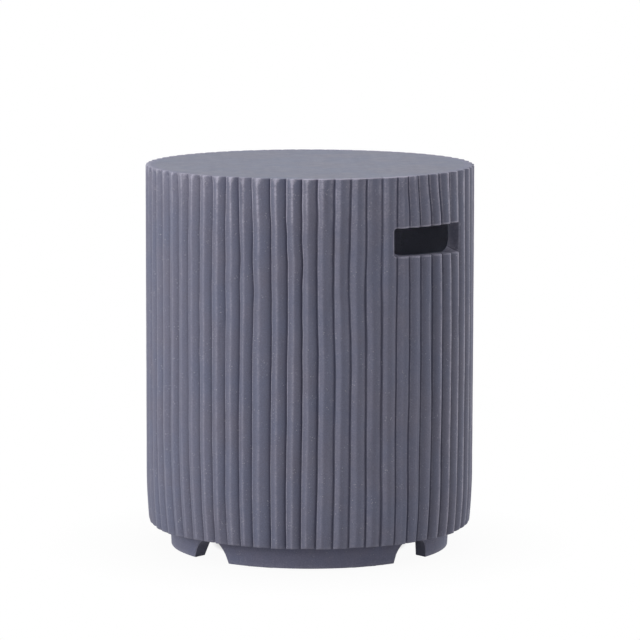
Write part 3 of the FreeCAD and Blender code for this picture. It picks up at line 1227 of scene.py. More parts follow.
@dataclass
class FlutedWall:
    """The drum's casting: ribs outside, rebate and ledge at the top, return at the foot."""

    finishes: Finishes
    crease: float = math.radians(65)
    bare_slack: float = 0.2 * MM
    crest_margin: float = 0.05 * MM
    upper_tuck: float = 0.1 * MM
    foot_tuck: float = 3.6 * MM
    foot_tuck_height: float = 69 * MM
    widest_height: float = 250 * MM
    wall_thickness: float = 18 * MM
    rebate_depth: float = 12 * MM
    rim_thickness: float = 13 * MM
    rim_ring: float = 8 * MM
    ledge_width: float = 16 * MM
    ledge_thickness: float = 10 * MM
    return_thickness: float = 16 * MM
    return_fillet: float = 8 * MM
    fillet_steps: int = 3
    return_bore: float = 173.5 * MM
    foot_ring: float = 14 * MM
    # Rows of points in millimetres: above the foot, below the rim, and inside above or below the
    # openings' middle.
    foot_rows: tuple[float, ...] = (0, 0.5, 1.4, 2.8, 4.8, 7.5, 11)
    rim_rows: tuple[float, ...] = (14, 10, 7.5, 5.5, 4, 2.8, 1.8, 1.0, 0.4, 0)
    inner_rows: tuple[float, ...] = (30, 10, -10, -30, -120, -240)
    row_pitch: float = 9.5 * MM
    row_clearance: float = 2.5 * MM
    window_rows: tuple[float, ...] = (0.9 * MM, 4 * MM)
    window_width: float = 127 * MM
    window_height: float = 40 * MM
    window_below_top: float = 64.5 * MM
    window_corner: float = 3.6 * MM
    window_inner_corners: Pair = (6 * MM, 20 * MM)
    window_draft: float = 4.5 * MM
    window_turn: float = math.radians(1.05)
    window_shifts: Pair = (1.3 * MM, -1.6 * MM)
    window_tilts: Pair = (-0.024, -0.003)
    tilt_reach: float = 26 * MM
    lining_levels: tuple[Pair, ...] = ((0.3, 0.2), (0.5, 0.6), (0.75, 0.9))
    # Painted light on the openings' shaded linings.
    lining_painted_light: float = 0.6
    lip_radius: float = 1.5 * MM
    lip_steps: int = 4
    outer_arc_steps: int = 4
    inner_arc_steps: int = 5
    # Painted highlight along the openings' upper lips.
    upper_lip_highlight: float = 2.2
    upper_lip_reach: float = 1.65 * MM
    unevenness: tuple[RoundRipple, ...] = (
        RoundRipple(0.16 * MM, 45, 38), RoundRipple(0.10 * MM, 120, 150))
    chamfered: Sector = Sector(-21, 0.90, 0.06)
    chamfer_least: float = 0.2
    chamfer_gain: float = 0.5
    chamfer_slope: float = 1.9
    chamfer_start: float = 0.2 * MM
    chamfer_softness: float = 0.15 * MM
    ragged: Ripple = Ripple(0.5, 40, 0, 0.4, 3.3)
    rim_ease: float = 0.3 * MM
    # Wear with painted highlight on the rim's chamfers, and a painted highlight line along the rim.
    rim_wear_and_highlight: float = 0.9
    rim_wear_depth: float = 0.3 * MM
    rim_highlight_line: float = 5.0
    rim_line_reach: float = 1.3 * MM
    rim_line_left: Sector = Sector(90, -0.12, 0.15)
    rim_line_right: Sector = Sector(-90, -0.66, 0.15)
    smeared: Sector = Sector(-62, 0.80, 0.12)
    smear_least: float = 0.75
    smear_ripple: Ripple = Ripple(0.35, 24, 0, 6.0, 1.2)
    smear_reach: float = 7 * MM
    smear_reach_ripple: Ripple = Ripple(5 * MM, 38, 0, 0.7, 5.1)
    smear_fill: float = 0.92
    smear_chamfer: float = 0.5 * MM
    smear_cover: float = 0.6
    smear_wear: float = 0.4
    smear_wear_reach: float = 50 * MM
    blot: Ripple = Ripple(1.0, 55, 170, 4.4)
    blot_share: float = 0.1
    blot_wear: float = 4.0
    blot_reach: float = 12 * MM
    foot_softness: float = 0.2 * MM
    foot_raise_reach: float = 11 * MM
    foot_wear: float = 0.3
    foot_wear_reach: float = 5 * MM
    # Painted highlights and painted light: up the ribs, near the rim, on the lamp side and far right.
    body_wear_and_highlight: float = 0.6
    upper_height: float = 95 * MM
    upper_highlight: float = 1.4
    stepped_highlight_loss: float = 0.4
    upper_painted_light: float = 0.05
    upper_smear_loss: float = 0.5
    upper_painted_shade_loss: float = 0.4
    painted_lit_side: Sector = Sector(-18, 0.85, 0.12)
    lit_side_highlight: Pair = (0.75, 0.45)
    rim_fan_height: float = 13 * MM
    rim_fan_highlight: float = 1.6
    rim_fan_width: float = 0.36
    rim_fan_least: float = 0.01
    far_right: Sector = Sector(76, 0.86, 0.1)
    far_ridge_highlight: float = 2.0
    far_ridge_width: float = 0.10
    # Painted shade over the left start of the rounded ribs.
    shaded_start: float = 1.8
    shaded_width: float = 0.55

    def __post_init__(self) -> None:
        """Take the wall's overall size from the frame."""
        low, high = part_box("fluted_wall")
        self.bottom, self.top = low.z, high.z
        self.half_size = (high.x, high.y)
        self.crest_radius = high.x - self.crest_margin
        self.inner_radius = high.x - self.wall_thickness
        self.pattern = RibPattern(self.crest_radius)

    def build(self) -> bpy.types.Object:
        """Make the wall.

        Returns:
            The piece.
        """
        bm = bmesh.new()
        turn_section(bm, self._section(), self.pattern.columns, self.pattern.first_groove)
        hidden = Zone(outer=self.inner_radius + self.bare_slack, low=self.bottom + MM,
                      high=self.top - MM)
        number_faces(bm, hidden.holds)
        self._shape(bm)
        for facing in (0.0, FULL_TURN / 2):
            self._cut_window(bm, facing + self.window_turn)
        bmesh.ops.triangulate(bm, faces=[face for face in bm.faces if len(face.verts) > 4])
        return finish_piece(bm, "fluted_drum_wall", "fluted_wall",
                            [self.finishes.wall_paint, self.finishes.raw_cement], self.crease)

    def _outer_heights(self) -> list[float]:
        """Space the outer rows: close together at the foot, at the openings and at the rim.

        Returns:
            Heights from the foot up.
        """
        foot = [self.bottom + step * MM for step in self.foot_rows]
        rim = [self.top - step * MM for step in self.rim_rows]
        gap = rim[0] - foot[-1]
        rows = round(gap / self.row_pitch)
        window_top = self.top - self.window_below_top + self.lip_radius
        window_bottom = self.top - self.window_below_top - self.window_height - self.lip_radius
        close = [window_top + step for step in self.window_rows]
        close += [window_bottom - step for step in self.window_rows]
        even = [foot[-1] + gap * row / rows for row in range(1, rows)]
        even = [height for height in even
                if min(abs(height - other) for other in close) > self.row_clearance]
        return foot + sorted(even + close) + rim

    def _section(self) -> list[Pair]:
        """Draw the wall's section, up the outside and down the inside.

        Returns:
            Its corners as radius and height.
        """
        rebate_radius = self.crest_radius + self.crest_margin - self.rim_thickness
        ledge_bore = rebate_radius - self.ledge_width
        ledge_top = self.top - self.rebate_depth
        ledge_bottom = ledge_top - self.ledge_thickness
        slope_bottom = ledge_bottom - (self.inner_radius - ledge_bore)
        window_middle = self.top - self.window_below_top - self.window_height / 2
        return_top = self.bottom + self.return_thickness
        section = [(self.crest_radius, height) for height in self._outer_heights()]
        section += [(self.crest_radius - self.rim_ring, self.top), (rebate_radius, self.top),
                    (rebate_radius, ledge_top), (ledge_bore, ledge_top), (ledge_bore, ledge_bottom),
                    (self.inner_radius, slope_bottom)]
        section += [(self.inner_radius, window_middle + row * MM) for row in self.inner_rows]
        for step in range(self.fillet_steps + 1):
            angle = step / self.fillet_steps * QUARTER_TURN
            section.append((self.inner_radius - self.return_fillet * (1 - math.cos(angle)),
                            return_top + self.return_fillet * (1 - math.sin(angle))))
        section += [(self.return_bore, return_top), (self.return_bore, self.bottom),
                    (self.crest_radius - self.foot_ring, self.bottom)]
        return section

    def _shape(self, bm: BMesh) -> None:
        """Move each column to its rib, and give the outside its ribs, rim and foot, its wear and
        painted highlights, and its painted shade.

        Args:
            bm: The turned wall.
        """
        wear_highlight_layer = bm.verts.layers.float.new(WEAR_HIGHLIGHT_LAYER)
        painted_shade_layer = bm.verts.layers.float.new(PAINTED_SHADE_LAYER)
        pattern = self.pattern
        step = FULL_TURN / pattern.columns
        half_x, half_y = self.half_size
        for vert in bm.verts:
            radius, height = radius_of(vert.co), vert.co.z
            column = round((angle_of(vert.co) - pattern.first_groove) / step) % pattern.columns
            angle, share = pattern.at(column, height)
            if radius < self.crest_radius - MM:
                vert.co = polar(radius, angle, height)
                continue
            index, station = divmod(column, len(RIB_STATIONS))
            point = WallPoint(pattern.ribs[index], RIB_STATIONS[station], share, angle, height,
                              pattern.depth(column, share, height), self.top - height,
                              height - self.bottom)
            radius, raised, lightened = self._outer_place(point)
            place = polar(radius, angle, raised)
            vert.co = (clamp(place.x, -half_x, half_x), clamp(place.y, -half_y, half_y), raised)
            vert[wear_highlight_layer], vert[painted_shade_layer] = self._wear_highlight_and_shade(point, lightened)

    def _wear_highlight_and_shade(self, point: WallPoint, lightened: float) -> Pair:
        """Work out the paint's wear and painted highlights, and its painted shade.

        Args:
            point: A point of the outside.
            lightened: How far the rim's wear and its painted highlights lighten it.

        Returns:
            Its amounts of worn edge and of recess.
        """
        rib, station = point.rib, point.station
        smear = self._smear(point.angle)
        upper = fading(point.below_rim, self.upper_height)
        at_rim = fading(point.below_rim, self.rim_fan_height)
        from_ridge = abs(point.share - rib.ridge_share)
        # Painted highlights on arrises and ridges, stronger up the wall, plus a painted light haze
        # there.
        edge = between(station.edge, station.stepped_edge, rib.stepped)
        upper_edge = (self.upper_highlight - self.stepped_highlight_loss * rib.stepped) * edge
        wear_and_highlight = self.body_wear_and_highlight * edge + (upper_edge + self.upper_painted_light) * upper
        # Painted light: stronger on the side towards the key lamps.
        wear_and_highlight *= self.lit_side_highlight[0] + self.lit_side_highlight[1] * self.painted_lit_side.share(point.angle)
        # Painted highlight fanning down the ridges from the rim.
        fan_width = max(self.rim_fan_width * at_rim, self.rim_fan_least)
        wear_and_highlight += (self.rim_fan_highlight * (1 - rib.stepped) * (1 - rib.rounded) * at_rim
                 * fading(from_ridge, fan_width))
        wear_and_highlight *= 1 - self.upper_smear_loss * smear * upper
        # Painted highlight on the far right's ridges, where the rear lamp grazes them.
        wear_and_highlight += (self.far_ridge_highlight * self.far_right.share(point.angle)
                 * fading(from_ridge, self.far_ridge_width))
        wear_and_highlight += self.smear_wear * smear * fading(point.below_rim, self.smear_wear_reach)
        wear_and_highlight += self.foot_wear * fading(point.above_foot, self.foot_wear_reach)
        # Painted shade in the grooves and on the shaded left start of rounded ribs.
        painted_shade = max(between(station.painted_shade, station.stepped_painted_shade, rib.stepped),
                     self.shaded_start * rib.rounded * fading(point.share, self.shaded_width))
        painted_shade *= max(1 - lightened, 0.0) * (1 - self.upper_painted_shade_loss * upper)
        return max(wear_and_highlight, lightened), painted_shade

    def _outer_place(self, point: WallPoint) -> tuple[float, float, float]:
        """Place a point of the outside.

        Args:
            point: The point, on its row before it is moved.

        Returns:
            Its radius, its height after the rib's foot is raised, and how far the rim's wear and
            painted highlights lighten it.
        """
        belly = self._belly(point.height)
        smear = self._smear(point.angle)
        fill_reach = self.smear_reach + self.smear_reach_ripple.at(point.angle)
        filled = self.smear_fill * smear * fading(point.below_rim, fill_reach)
        place = polar(1, point.angle)
        uneven = sum(ripple.at(place.x, place.y, point.height) for ripple in self.unevenness)
        radius = belly - point.depth * (1 - filled) + uneven
        radius, lightened = self._at_rim(point, belly, radius, smear)
        rounding = point.rib.foot_rounding
        if point.above_foot < rounding:
            inset = math.sqrt(rounding ** 2 - (rounding - point.above_foot) ** 2)
            radius = soft_min(radius, belly - rounding + inset, self.foot_softness)
        raised = point.height + point.rib.foot_raise * fading(point.above_foot,
                                                              self.foot_raise_reach)
        return min(radius, self.crest_radius), raised, lightened

    def _at_rim(self, point: WallPoint, belly: float, radius: float, smear: float) -> Pair:
        """Chamfer the ribs' ends at the rim, wear them and paint a highlight line along the rim.

        Args:
            point: The point.
            belly: Crest radius at its height.
            radius: Its radius so far.
            smear: How far the top coat is smeared over it.

        Returns:
            Its radius, and how far wear and painted highlights lighten it.
        """
        below = point.below_rim
        depth_share = self.chamfer_least + (self.chamfer_gain * self.chamfered.share(point.angle)
                                            * (1 - smear))
        chamfer = point.rib.top_chamfer * depth_share + self.smear_chamfer * smear
        chamfer *= 1 + self.ragged.at(point.angle) * smear
        chamfer_height = self.chamfer_slope * chamfer + self.chamfer_start
        lightened = 0.0
        if below < chamfer_height:
            limit = belly - chamfer * (1 - below / chamfer_height)
            lightened = self.rim_wear_and_highlight * ease((radius - limit) / self.rim_wear_depth)
            radius = soft_min(radius, limit, self.chamfer_softness)
        radius -= self.rim_ease * fading(below, MM)
        blot = max(self.blot.at(point.angle, point.height) + self.blot_share, 0.0)
        blot *= self.blot_wear * smear * fading(below, self.blot_reach)
        # Painted highlight: a thin bright line along the rim's edge.
        line = self.rim_line_left.share(point.angle) * self.rim_line_right.share(point.angle)
        line *= self.rim_highlight_line * ease((self.rim_line_reach - below) / MM)
        return radius, max(lightened * (1 - self.smear_cover * smear), blot, line)

    def _belly(self, height: float) -> float:
        """Crest radius: widest at mid height, drawn in a little at the rim and more at the foot.

        Args:
            height: Height in the frame.

        Returns:
            The radius.
        """
        above = max(height - self.widest_height, 0.0) / (self.top - self.widest_height)
        foot = max(self.bottom + self.foot_tuck_height - height, 0.0) / self.foot_tuck_height
        return self.crest_radius - self.upper_tuck * above ** 2 - self.foot_tuck * foot ** 2

    def _smear(self, angle: float) -> float:
        """How far the top coat is smeared over the rib ends at an angle, from 0 to about 1."""
        return self.smeared.share(angle) * (self.smear_least + self.smear_ripple.at(angle))

    def _cut_window(self, bm: BMesh, facing: float) -> None:
        """Cut one hand opening, round its lip and line it.

        Args:
            bm: The wall's mesh.
            facing: Angle that the opening faces.
        """
        top = self.top - self.window_below_top
        outline = WindowOutline(self.window_width / 2, top - self.window_height, top,
                                self.window_corner, self.window_corner)
        middle = (self.crest_radius + self.inner_radius) / 2
        outside, inside = Zone(inner=middle), Zone(outer=middle)
        cutter = WindowCutter(bm, facing)
        cutter.cut(outline.grown(self.lip_radius), self.outer_arc_steps, outside)
        cutter.cut(self._window_level(outline, 1.0), self.inner_arc_steps, inside)
        loop = cutter.open_edges(outside)
        inner_loop = cutter.open_edges(inside)
        # Painted highlight on the lip's outer edge.
        cutter.mark(loop, cutter.wear_highlight_layer, cutter.LIP_HIGHLIGHT)
        before = set(bm.faces)
        loop = cutter.round_lip(loop, outline, self.lip_radius, self.lip_steps)
        # The lining gets painted light.
        for depth_share, level_share in self.lining_levels:
            level = self._window_level(outline, level_share)
            move = partial(self._lining_place, cutter, level, depth_share)
            loop = cutter.draw_in(loop, move, self.lining_painted_light)
        bmesh.ops.bridge_loops(bm, edges=loop + inner_loop)
        for face in bm.faces:
            if face not in before:
                face.material_index = Surface.PAINT.value
        bmesh.ops.recalc_face_normals(bm, faces=bm.faces)
        self._tilt_window(bm, cutter, outline)

    def _window_level(self, outline: WindowOutline, share: float) -> WindowOutline:
        """Outline of an opening at a share of the way in, with drafted jambs and larger corners."""
        upper, lower = (between(self.window_corner, inner, share)
                        for inner in self.window_inner_corners)
        return replace(outline, half_width=outline.half_width - self.window_draft * share,
                       upper_corner=upper, lower_corner=lower)

    def _lining_place(self, cutter: WindowCutter, level: WindowOutline, share: float,
                      point: Vector) -> Vector:
        """Move a point of an opening's lining to the next level.

        Args:
            cutter: The cutter that made the opening.
            level: The opening's outline there.
            share: Share of the rest of the way into the wall.
            point: The point.

        Returns:
            Its new place.
        """
        side, up = cutter.flat(point)
        inner_depth = math.sqrt(self.inner_radius ** 2 - side ** 2)
        deeper = (point.dot(cutter.out) - inner_depth) * share
        return cutter.moved(level, max(level.distance(side, up), 0.0), deeper, point)

    def _tilt_window(self, bm: BMesh, cutter: WindowCutter, outline: WindowOutline) -> None:
        """Tilt an opening's lower and upper edge a little, let the ribs round it follow, and
        strengthen the painted highlight along its upper lip.

        Args:
            bm: The wall's mesh.
            cutter: The cutter that made the opening.
            outline: The opening's outline.
        """
        for vert in bm.verts:
            side, up = cutter.flat(vert.co)
            away = outline.distance(side, up)
            if vert.co.dot(cutter.out) > 0 and away < self.tilt_reach:
                lift = clamp((up - outline.bottom) / (outline.top - outline.bottom), 0.0, 1.0)
                held = clamp(side, -outline.half_width, outline.half_width)
                tilt = between(*self.window_tilts, lift) * held
                shift = between(*self.window_shifts, lift) + tilt
                vert.co.z += shift * fading(away, self.tilt_reach)
                # Painted highlight along the upper lip.
                if abs(away) < self.upper_lip_reach and up > outline.top:
                    vert[cutter.wear_highlight_layer] *= self.upper_lip_highlight


@dataclass
class Tabletop:
    """The round panel that closes the drum, level with the rim."""

    finishes: Finishes
    columns: int = 192
    crease: float = math.radians(40)
    panel_radius: float = 202.95 * MM
    middle_radius: float = 186.4 * MM
    flange_depth: float = 12 * MM
    easing: float = 1 * MM
    upper_rings: tuple[float, ...] = (197, 185, 165, 140, 112, 84, 56, 28, 0)  # millimetres
    lower_rings: tuple[float, ...] = (0, 80, 150)  # millimetres
    hollow: float = 0.25 * MM
    hollow_reach: float = 25 * MM
    hollow_scale: float = 14.0

    def build(self) -> bpy.types.Object:
        """Make the tabletop.

        Returns:
            The piece.
        """
        low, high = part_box("tabletop")
        ledge_top = high.z - self.flange_depth
        section = [(radius * MM, low.z) for radius in self.lower_rings]
        section += [(self.middle_radius - self.easing, low.z),
                    (self.middle_radius, low.z + self.easing), (self.middle_radius, ledge_top),
                    (self.panel_radius, ledge_top), (self.panel_radius, high.z)]
        section += [(radius * MM, high.z) for radius in self.upper_rings]
        bm = bmesh.new()
        turn_section(bm, section, self.columns, closed=False)
        for vert in bm.verts:
            if vert.co.z > high.z - MM:
                place = vert.co * self.hollow_scale
                dip = 0.5 + 0.5 * wave(place.x, place.y, 2.0)
                inside = ease((self.panel_radius - radius_of(vert.co)) / self.hollow_reach)
                vert.co.z -= self.hollow * dip * inside
        number_faces(bm, lambda centre: centre.z <= high.z - MM)
        return finish_piece(bm, "round_tabletop", "tabletop",
                            [self.finishes.top_paint, self.finishes.raw_cement], self.crease)


@dataclass(frozen=True)
class NotchSide:
    """How one side of a notch strays from upright: shares of the notch's half width."""

    spread: float
    lean: float
    inner_lean: float


@dataclass
class Plinth:
    """The footed ring that the drum stands on."""

    finishes: Finishes
    columns: int = 288
    crease: float = math.radians(38)
    wall: float = 17 * MM
    draft: float = 1.5 * MM
    draft_shares: tuple[float, ...] = (0.0, 0.2, 0.4, 0.6, 0.8, 0.95, 1.0)
    bore_shares: tuple[float, ...] = (0.95, 0.7, 0.45, 0.2)
    edge_easing: float = 1.0 * MM
    edge_corner: float = 0.3 * MM
    foot_lip: float = 1.2 * MM
    foot_lip_width: float = 2.9 * MM
    foot_wear: float = 0.5
    foot_wear_reach: float = 3 * MM
    roughness: float = 0.3 * MM
    roughness_scale: float = 60.0
    rough_depth: float = 4 * MM
    bare_slack: float = 0.5 * MM
    skin_slack: float = 0.1 * MM
    underside_slack: float = 0.01 * MM
    spigot_thickness: float = 5 * MM
    spigot_height: float = 11 * MM
    notch_half_width: float = 30.5 * MM
    notch_height: float = 25.5 * MM
    notch_corner: float = 17 * MM
    notch_inner_corner: float = 7 * MM
    notch_inner_half_width: float = 27.8 * MM
    notch_lip: float = 0.6 * MM
    lip_steps: int = 3
    arc_steps: int = 6
    # Painted shade in the notches and along the top, under the drum.
    notch_painted_shade: float = 2.2
    upper_painted_shade: float = 1.0
    painted_shade_reach: float = 14 * MM
    notch_sides: tuple[tuple[NotchSide, NotchSide], ...] = (
        (NotchSide(0.0, 0.25, 0.25), NotchSide(0.0, 0.08, 0.08)),
        (NotchSide(0.0, 0.2, 0.25), NotchSide(0.0, 0.2, 0.2)),
        (NotchSide(0.0, 0.3, 0.3), NotchSide(0.0, 0.15, 0.2)),
        (NotchSide(0.11, 0.33, 0.55), NotchSide(-0.07, 0.34, 0.34)),
    )
    lean_reach: float = 2.2  # shares of the notch's half width
    lean_top: float = 1.02  # shares of the notch's height

    def __post_init__(self) -> None:
        """Take the plinth's overall size from the frame."""
        low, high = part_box("plinth")
        self.bottom, self.spigot_top = low.z, high.z
        self.radius = high.x
        self.shoulder = high.z - self.spigot_height
        self.bore = self.radius - self.wall

    def build(self) -> bpy.types.Object:
        """Make the plinth.

        Returns:
            The piece.
        """
        bm = bmesh.new()
        turn_section(bm, self._section(), self.columns)
        self._roughen(bm)
        for number, sides in enumerate(self.notch_sides):
            facing = number * FULL_TURN / len(self.notch_sides)
            self._cut_notch(bm, facing)
            self._lean_notch(bm, facing, sides)
        number_faces(bm, lambda centre: (radius_of(centre) < self.bore + self.bare_slack
                                         or centre.z > self.shoulder - self.bare_slack))
        return finish_piece(bm, "footed_plinth", "plinth",
                            [self.finishes.plinth_paint_painted_lighter, self.finishes.raw_cement], self.crease)

    def _section(self) -> list[Pair]:
        """Draw the ring's section, from the bore's foot up the outside and down the inside.

        Returns:
            Its corners as radius and height.
        """
        foot_edge = self.radius - self.draft
        spigot = self.bore + self.spigot_thickness
        foot = self.bottom - self.foot_lip
        seat_edge = foot_edge - self.foot_lip_width
        easing = self.edge_easing
        section = [(self.bore, self.bottom), (seat_edge, self.bottom), (seat_edge, foot),
                   (foot_edge - easing, foot),
                   (foot_edge - self.edge_corner, foot + self.edge_corner)]
        section += [(foot_edge + self.draft * share, between(foot + easing, self.shoulder, share))
                    for share in self.draft_shares]
        section += [(spigot, self.shoulder), (spigot, self.spigot_top),
                    (self.bore, self.spigot_top)]
        section += [(self.bore, between(self.bottom, self.shoulder, share))
                    for share in self.bore_shares]
        return section

    def _roughen(self, bm: BMesh) -> None:
        """Give the outside the slight unevenness of a casting, inwards only, its wear at the foot,
        and painted shade that darkens it towards its top, under the drum.

        Args:
            bm: The turned ring.
        """
        wear_highlight_layer = bm.verts.layers.float.new(WEAR_HIGHLIGHT_LAYER)
        painted_shade_layer = bm.verts.layers.float.new(PAINTED_SHADE_LAYER)
        outside = Zone(inner=self.radius - self.rough_depth, high=self.shoulder - self.skin_slack)
        for vert in bm.verts:
            if outside.holds(vert.co):
                dip = 0.5 + 0.5 * wave(*(value * self.roughness_scale for value in vert.co))
                radius = radius_of(vert.co) - self.roughness * dip
                height = vert.co.z
                vert.co = polar(radius, angle_of(vert.co), height)
                vert[wear_highlight_layer] = self.foot_wear * fading(height - self.bottom,
                                                           self.foot_wear_reach)
                # Painted shadow, darker towards the top, under the drum.
                vert[painted_shade_layer] = self.upper_painted_shade * fading(self.shoulder - height,
                                                               self.painted_shade_reach)

    def _cut_notch(self, bm: BMesh, facing: float) -> None:
        """Cut one hose notch through the ring, line its arch and paint shade on the lining.

        Args:
            bm: The ring's mesh.
            facing: Angle that the notch faces.
        """
        outline = WindowOutline(self.notch_half_width, self.bottom - 2 * self.notch_height,
                                self.bottom + self.notch_height, self.notch_corner,
                                self.notch_corner)
        inner_outline = replace(outline, half_width=self.notch_inner_half_width,
                                upper_corner=self.notch_inner_corner)
        middle = self.radius - self.wall / 2
        underside = self.bottom + self.underside_slack
        outer_skin = self.radius - self.draft - self.edge_easing + self.skin_slack
        inside = Zone(outer=middle, low=underside)
        cutter = WindowCutter(bm, facing)
        for skin in (Zone(inner=middle, low=underside), Zone(high=underside)):
            cutter.cut(outline.grown(self.notch_lip), self.arc_steps, skin)
        cutter.cut(inner_outline, self.arc_steps, inside)
        outer_arch = cutter.open_edges(Zone(inner=outer_skin))
        inner_arch = cutter.open_edges(inside)
        outer_arch = cutter.round_lip(outer_arch, outline, self.notch_lip, self.lip_steps)
        outer_arch = cutter.draw_in(outer_arch, lambda point: point - cutter.out * self.notch_lip)
        arches = outer_arch + inner_arch
        # Painted shade on the arch's lining.
        cutter.mark(arches, bm.verts.layers.float[PAINTED_SHADE_LAYER], self.notch_painted_shade)
        bmesh.ops.bridge_loops(bm, edges=arches)
        bmesh.ops.holes_fill(bm, edges=[edge for edge in bm.edges if edge.is_boundary], sides=0)
        bmesh.ops.recalc_face_normals(bm, faces=bm.faces)

    def _lean_notch(self, bm: BMesh, facing: float, sides: tuple[NotchSide, NotchSide]) -> None:
        """Lean a notch's sides, by sliding the ring's points round the axis.

        Args:
            bm: The ring's mesh.
            facing: Angle that the notch faces.
            sides: The notch's clockwise and anticlockwise side.
        """
        edge = math.asin(self.notch_half_width / self.radius)
        reach = self.lean_reach * edge
        for vert in bm.verts:
            turn = math.remainder(angle_of(vert.co) - facing, FULL_TURN)
            lift = (vert.co.z - self.bottom) / self.notch_height
            if abs(turn) < reach and lift < self.lean_top:
                side = sides[1 if turn > 0 else 0]
                radius = radius_of(vert.co)
                inwards = clamp((self.radius - radius) / self.wall, 0.0, 1.0)
                lean = between(side.lean, side.inner_lean, inwards)
                stray = (side.spread - lean * max(lift, 0.0)) * ease((reach - abs(turn))
                                                                     / (reach - edge))
                vert.co = polar(radius, facing + turn * (1 + stray), vert.co.z)


@dataclass
class FootPad:
    """One self-adhesive foam pad under a foot, with rounded corners and rims."""

    finishes: Finishes
    number: int
    length: float = 36 * MM
    width: float = 9.4 * MM
    corner_radius: float = 3 * MM
    corner_steps: int = 6
    edge_rounding: float = 0.6 * MM
    edge_steps: int = 3
    crease: float = math.radians(50)

    def build(self) -> bpy.types.Object:
        """Make the pad.

        Returns:
            The piece.
        """
        node = f"foot_pad_{self.number}"
        low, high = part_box(node)
        thickness = high.z - low.z
        bm = bmesh.new()
        bmesh.ops.create_cube(bm, size=1.0)
        bmesh.ops.scale(bm, vec=(self.width, self.length, thickness), verts=bm.verts)
        self._bevel(bm, self.corner_radius, self.corner_steps, (thickness / 2, math.inf))
        self._bevel(bm, self.edge_rounding, self.edge_steps, (-math.inf, thickness / 4))
        middle = (low + high) / 2
        turned = Matrix.Rotation(angle_of(middle), 4, "Z")
        bmesh.ops.transform(bm, matrix=Matrix.Translation(middle) @ turned, verts=bm.verts)
        return finish_piece(bm, f"rubber_foot_pad_{self.number}", node,
                            [self.finishes.foam_rubber], self.crease)

    @staticmethod
    def _bevel(bm: BMesh, offset: float, segments: int, rise_range: Pair) -> None:
        """Round the edges that rise by an amount in a range."""
        edges = [edge for edge in bm.edges
                 if rise_range[0] < abs(edge.verts[0].co.z - edge.verts[1].co.z) < rise_range[1]]
        bmesh.ops.bevel(bm, geom=edges, offset=offset, offset_type="OFFSET", segments=segments,
                        profile=0.5, affect="EDGES", material=-1)


@dataclass(frozen=True)
class AreaLamp:
    """A soft lamp, its place in degrees right of the photographed front, and its power in watts."""

    name: str
    aside: float
    distance: float
    height: float
    width: float
    tall: float
    power: float


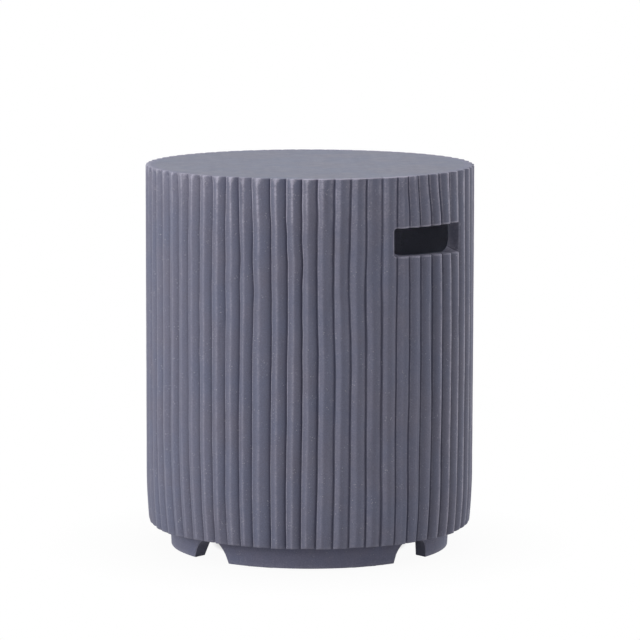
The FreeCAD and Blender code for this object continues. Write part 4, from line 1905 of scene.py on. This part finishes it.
@dataclass
class Studio:
    """Camera at the photograph's place, pale floor, soft lamps and white surroundings."""

    camera_azimuth: float = math.radians(43.7)
    camera_distance: float = 4.955
    camera_height: float = 0.962
    camera_pitch: float = math.radians(7.627)
    camera_roll: float = math.radians(0.13)
    axis_left_of_centre: float = 10.3
    focal_pixels: float = 3787.0
    image_pixels: float = 640.0
    sensor_width: float = 36.0
    aim_height: float = 0.27
    floor_size: float = 30.0
    floor_squares: int = 8
    floor_roughness: float = 0.9
    floor_gloss: float = 0.1
    floor_level: float = -0.2 * MM
    floor_tones: tuple[Colour, Colour] = ((0.46, 0.46, 0.46, 1), (0.49, 0.49, 0.49, 1))
    hollow_tone: Colour = (0.8, 0.82, 0.9, 1)
    hollow_edge: Pair = (0.10, 0.13)
    shadow_edge: Pair = (0.17, 0.36)
    near_white: float = 0.95
    surroundings: float = 0.4335
    lamps: tuple[AreaLamp, ...] = (
        AreaLamp("left_softbox", -40, 2.6, 1.6, 1.4, 1.8, 2.95),
        AreaLamp("far_left_softbox", -64, 2.6, 1.6, 1.4, 1.8, 18.8),
        AreaLamp("low_left_softbox", -55, 2.6, 0.5, 1.2, 1.0, 4.1),
        AreaLamp("high_left_softbox", -30, 1.8, 2.9, 1.4, 1.4, 5.4),
        AreaLamp("front_fill", 5, 7.5, 1.9, 2.1, 2.1, 4.3),
        AreaLamp("right_side_strip", 92, 2.6, 1.3, 0.8, 1.8, 2.0),
        AreaLamp("right_rear_strip", 125, 2.4, 0.9, 0.5, 1.8, 8.9),
        AreaLamp("left_rear_strip", -112, 2.4, 0.9, 0.5, 1.8, 5.4),
        AreaLamp("overhead_softbox", 170, 0.8, 3.0, 2.0, 2.0, 17.1),
    )

    def build(self) -> None:
        """Set up the camera, lamps, floor and surroundings."""
        bpy.context.scene.view_settings.view_transform = "Standard"
        self._make_camera()
        for lamp in self.lamps:
            self._make_lamp(lamp)
        self._make_floor()
        self._make_surroundings()

    def _make_camera(self) -> None:
        """Place the camera that the photograph was taken with."""
        data = bpy.data.cameras.new("photo_camera")
        data.sensor_width = self.sensor_width
        data.lens = self.focal_pixels / self.image_pixels * self.sensor_width
        camera = bpy.data.objects.new("photo_camera", data)
        camera.location = polar(self.camera_distance, self.camera_azimuth - QUARTER_TURN,
                                self.camera_height)
        aside = math.atan(self.axis_left_of_centre / self.focal_pixels)
        aim = Euler((QUARTER_TURN - self.camera_pitch, 0, self.camera_azimuth - aside)).to_matrix()
        camera.rotation_euler = (aim @ Matrix.Rotation(self.camera_roll, 3, "Z")).to_euler()
        bpy.context.scene.collection.objects.link(camera)
        bpy.context.scene.camera = camera

    def _make_lamp(self, lamp: AreaLamp) -> None:
        """Hang one soft lamp and aim it at the object.

        Args:
            lamp: The lamp.
        """
        data = bpy.data.lights.new(lamp.name, "AREA")
        data.shape = "RECTANGLE"
        data.size, data.size_y = lamp.width, lamp.tall
        data.energy = lamp.power
        light = bpy.data.objects.new(lamp.name, data)
        place = polar(lamp.distance, FRONT + math.radians(lamp.aside), lamp.height)
        light.location = place
        light.rotation_euler = (UP * self.aim_height - place).to_track_quat("-Z", "Y").to_euler()
        bpy.context.scene.collection.objects.link(light)

    def _make_floor(self) -> None:
        """Lay the pale floor, white to the camera but for the object's soft shadow and hollow."""
        bm = bmesh.new()
        bmesh.ops.create_grid(bm, x_segments=self.floor_squares, y_segments=self.floor_squares,
                              size=self.floor_size / 2)
        bmesh.ops.translate(bm, verts=bm.verts, vec=UP * self.floor_level)
        mesh = bpy.data.meshes.new("studio_floor")
        bm.to_mesh(mesh)
        bm.free()
        floor = bpy.data.objects.new("studio_floor", mesh)
        bpy.context.scene.collection.objects.link(floor)
        graph = FinishGraph("studio_floor")
        tone = graph.mix(graph.noise(graph.place, scale=3), *self.floor_tones)
        away = graph.add("ShaderNodeVectorMath", {0: graph.place}, operation="LENGTH")
        outside = graph.remap(away.outputs["Value"], *self.hollow_edge)
        unshaded = graph.remap(away.outputs["Value"], *self.shadow_edge, self.near_white)
        graph.coat(graph.mix(outside, self.hollow_tone, tone), self.floor_roughness,
                   self.floor_gloss)
        glow = graph.add("ShaderNodeEmission", {"Strength": 1.0}).outputs[0]
        white = graph.product(graph.seen_directly(), graph.product(unshaded, outside))
        mixed = graph.add("ShaderNodeMixShader", {0: white, 1: graph.shader.outputs[0], 2: glow})
        graph.feed(graph.tree.nodes["Material Output"], {"Surface": mixed.outputs[0]})
        mesh.materials.append(graph.material)

    def _make_surroundings(self) -> None:
        """White background, with a plain soft light on the object."""
        world = bpy.data.worlds.new("studio_surroundings")
        world.use_nodes = True
        bpy.context.scene.world = world
        graph = NodeGraph(world.node_tree)
        strength = graph.remap(graph.seen_directly(), 0, 1, self.surroundings)
        graph.feed(world.node_tree.nodes["Background"],
                   {"Color": (1, 1, 1, 1), "Strength": strength})


def main() -> None:
    """Load the frame, set up the studio and build every piece round it."""
    logging.basicConfig(level=logging.INFO, format="%(name)s: %(message)s")
    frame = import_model()
    LOG.info("frame with %d nodes", len(frame["nodes"]))
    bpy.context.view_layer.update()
    Studio().build()
    finishes = Finishes.build()
    FlutedWall(finishes).build()
    Tabletop(finishes).build()
    Plinth(finishes).build()
    pads = sum(name.startswith("foot_pad_") for name in frame["nodes"])
    for number in range(1, pads + 1):
        FootPad(finishes, number).build()


if __name__ == "__main__":
    main()
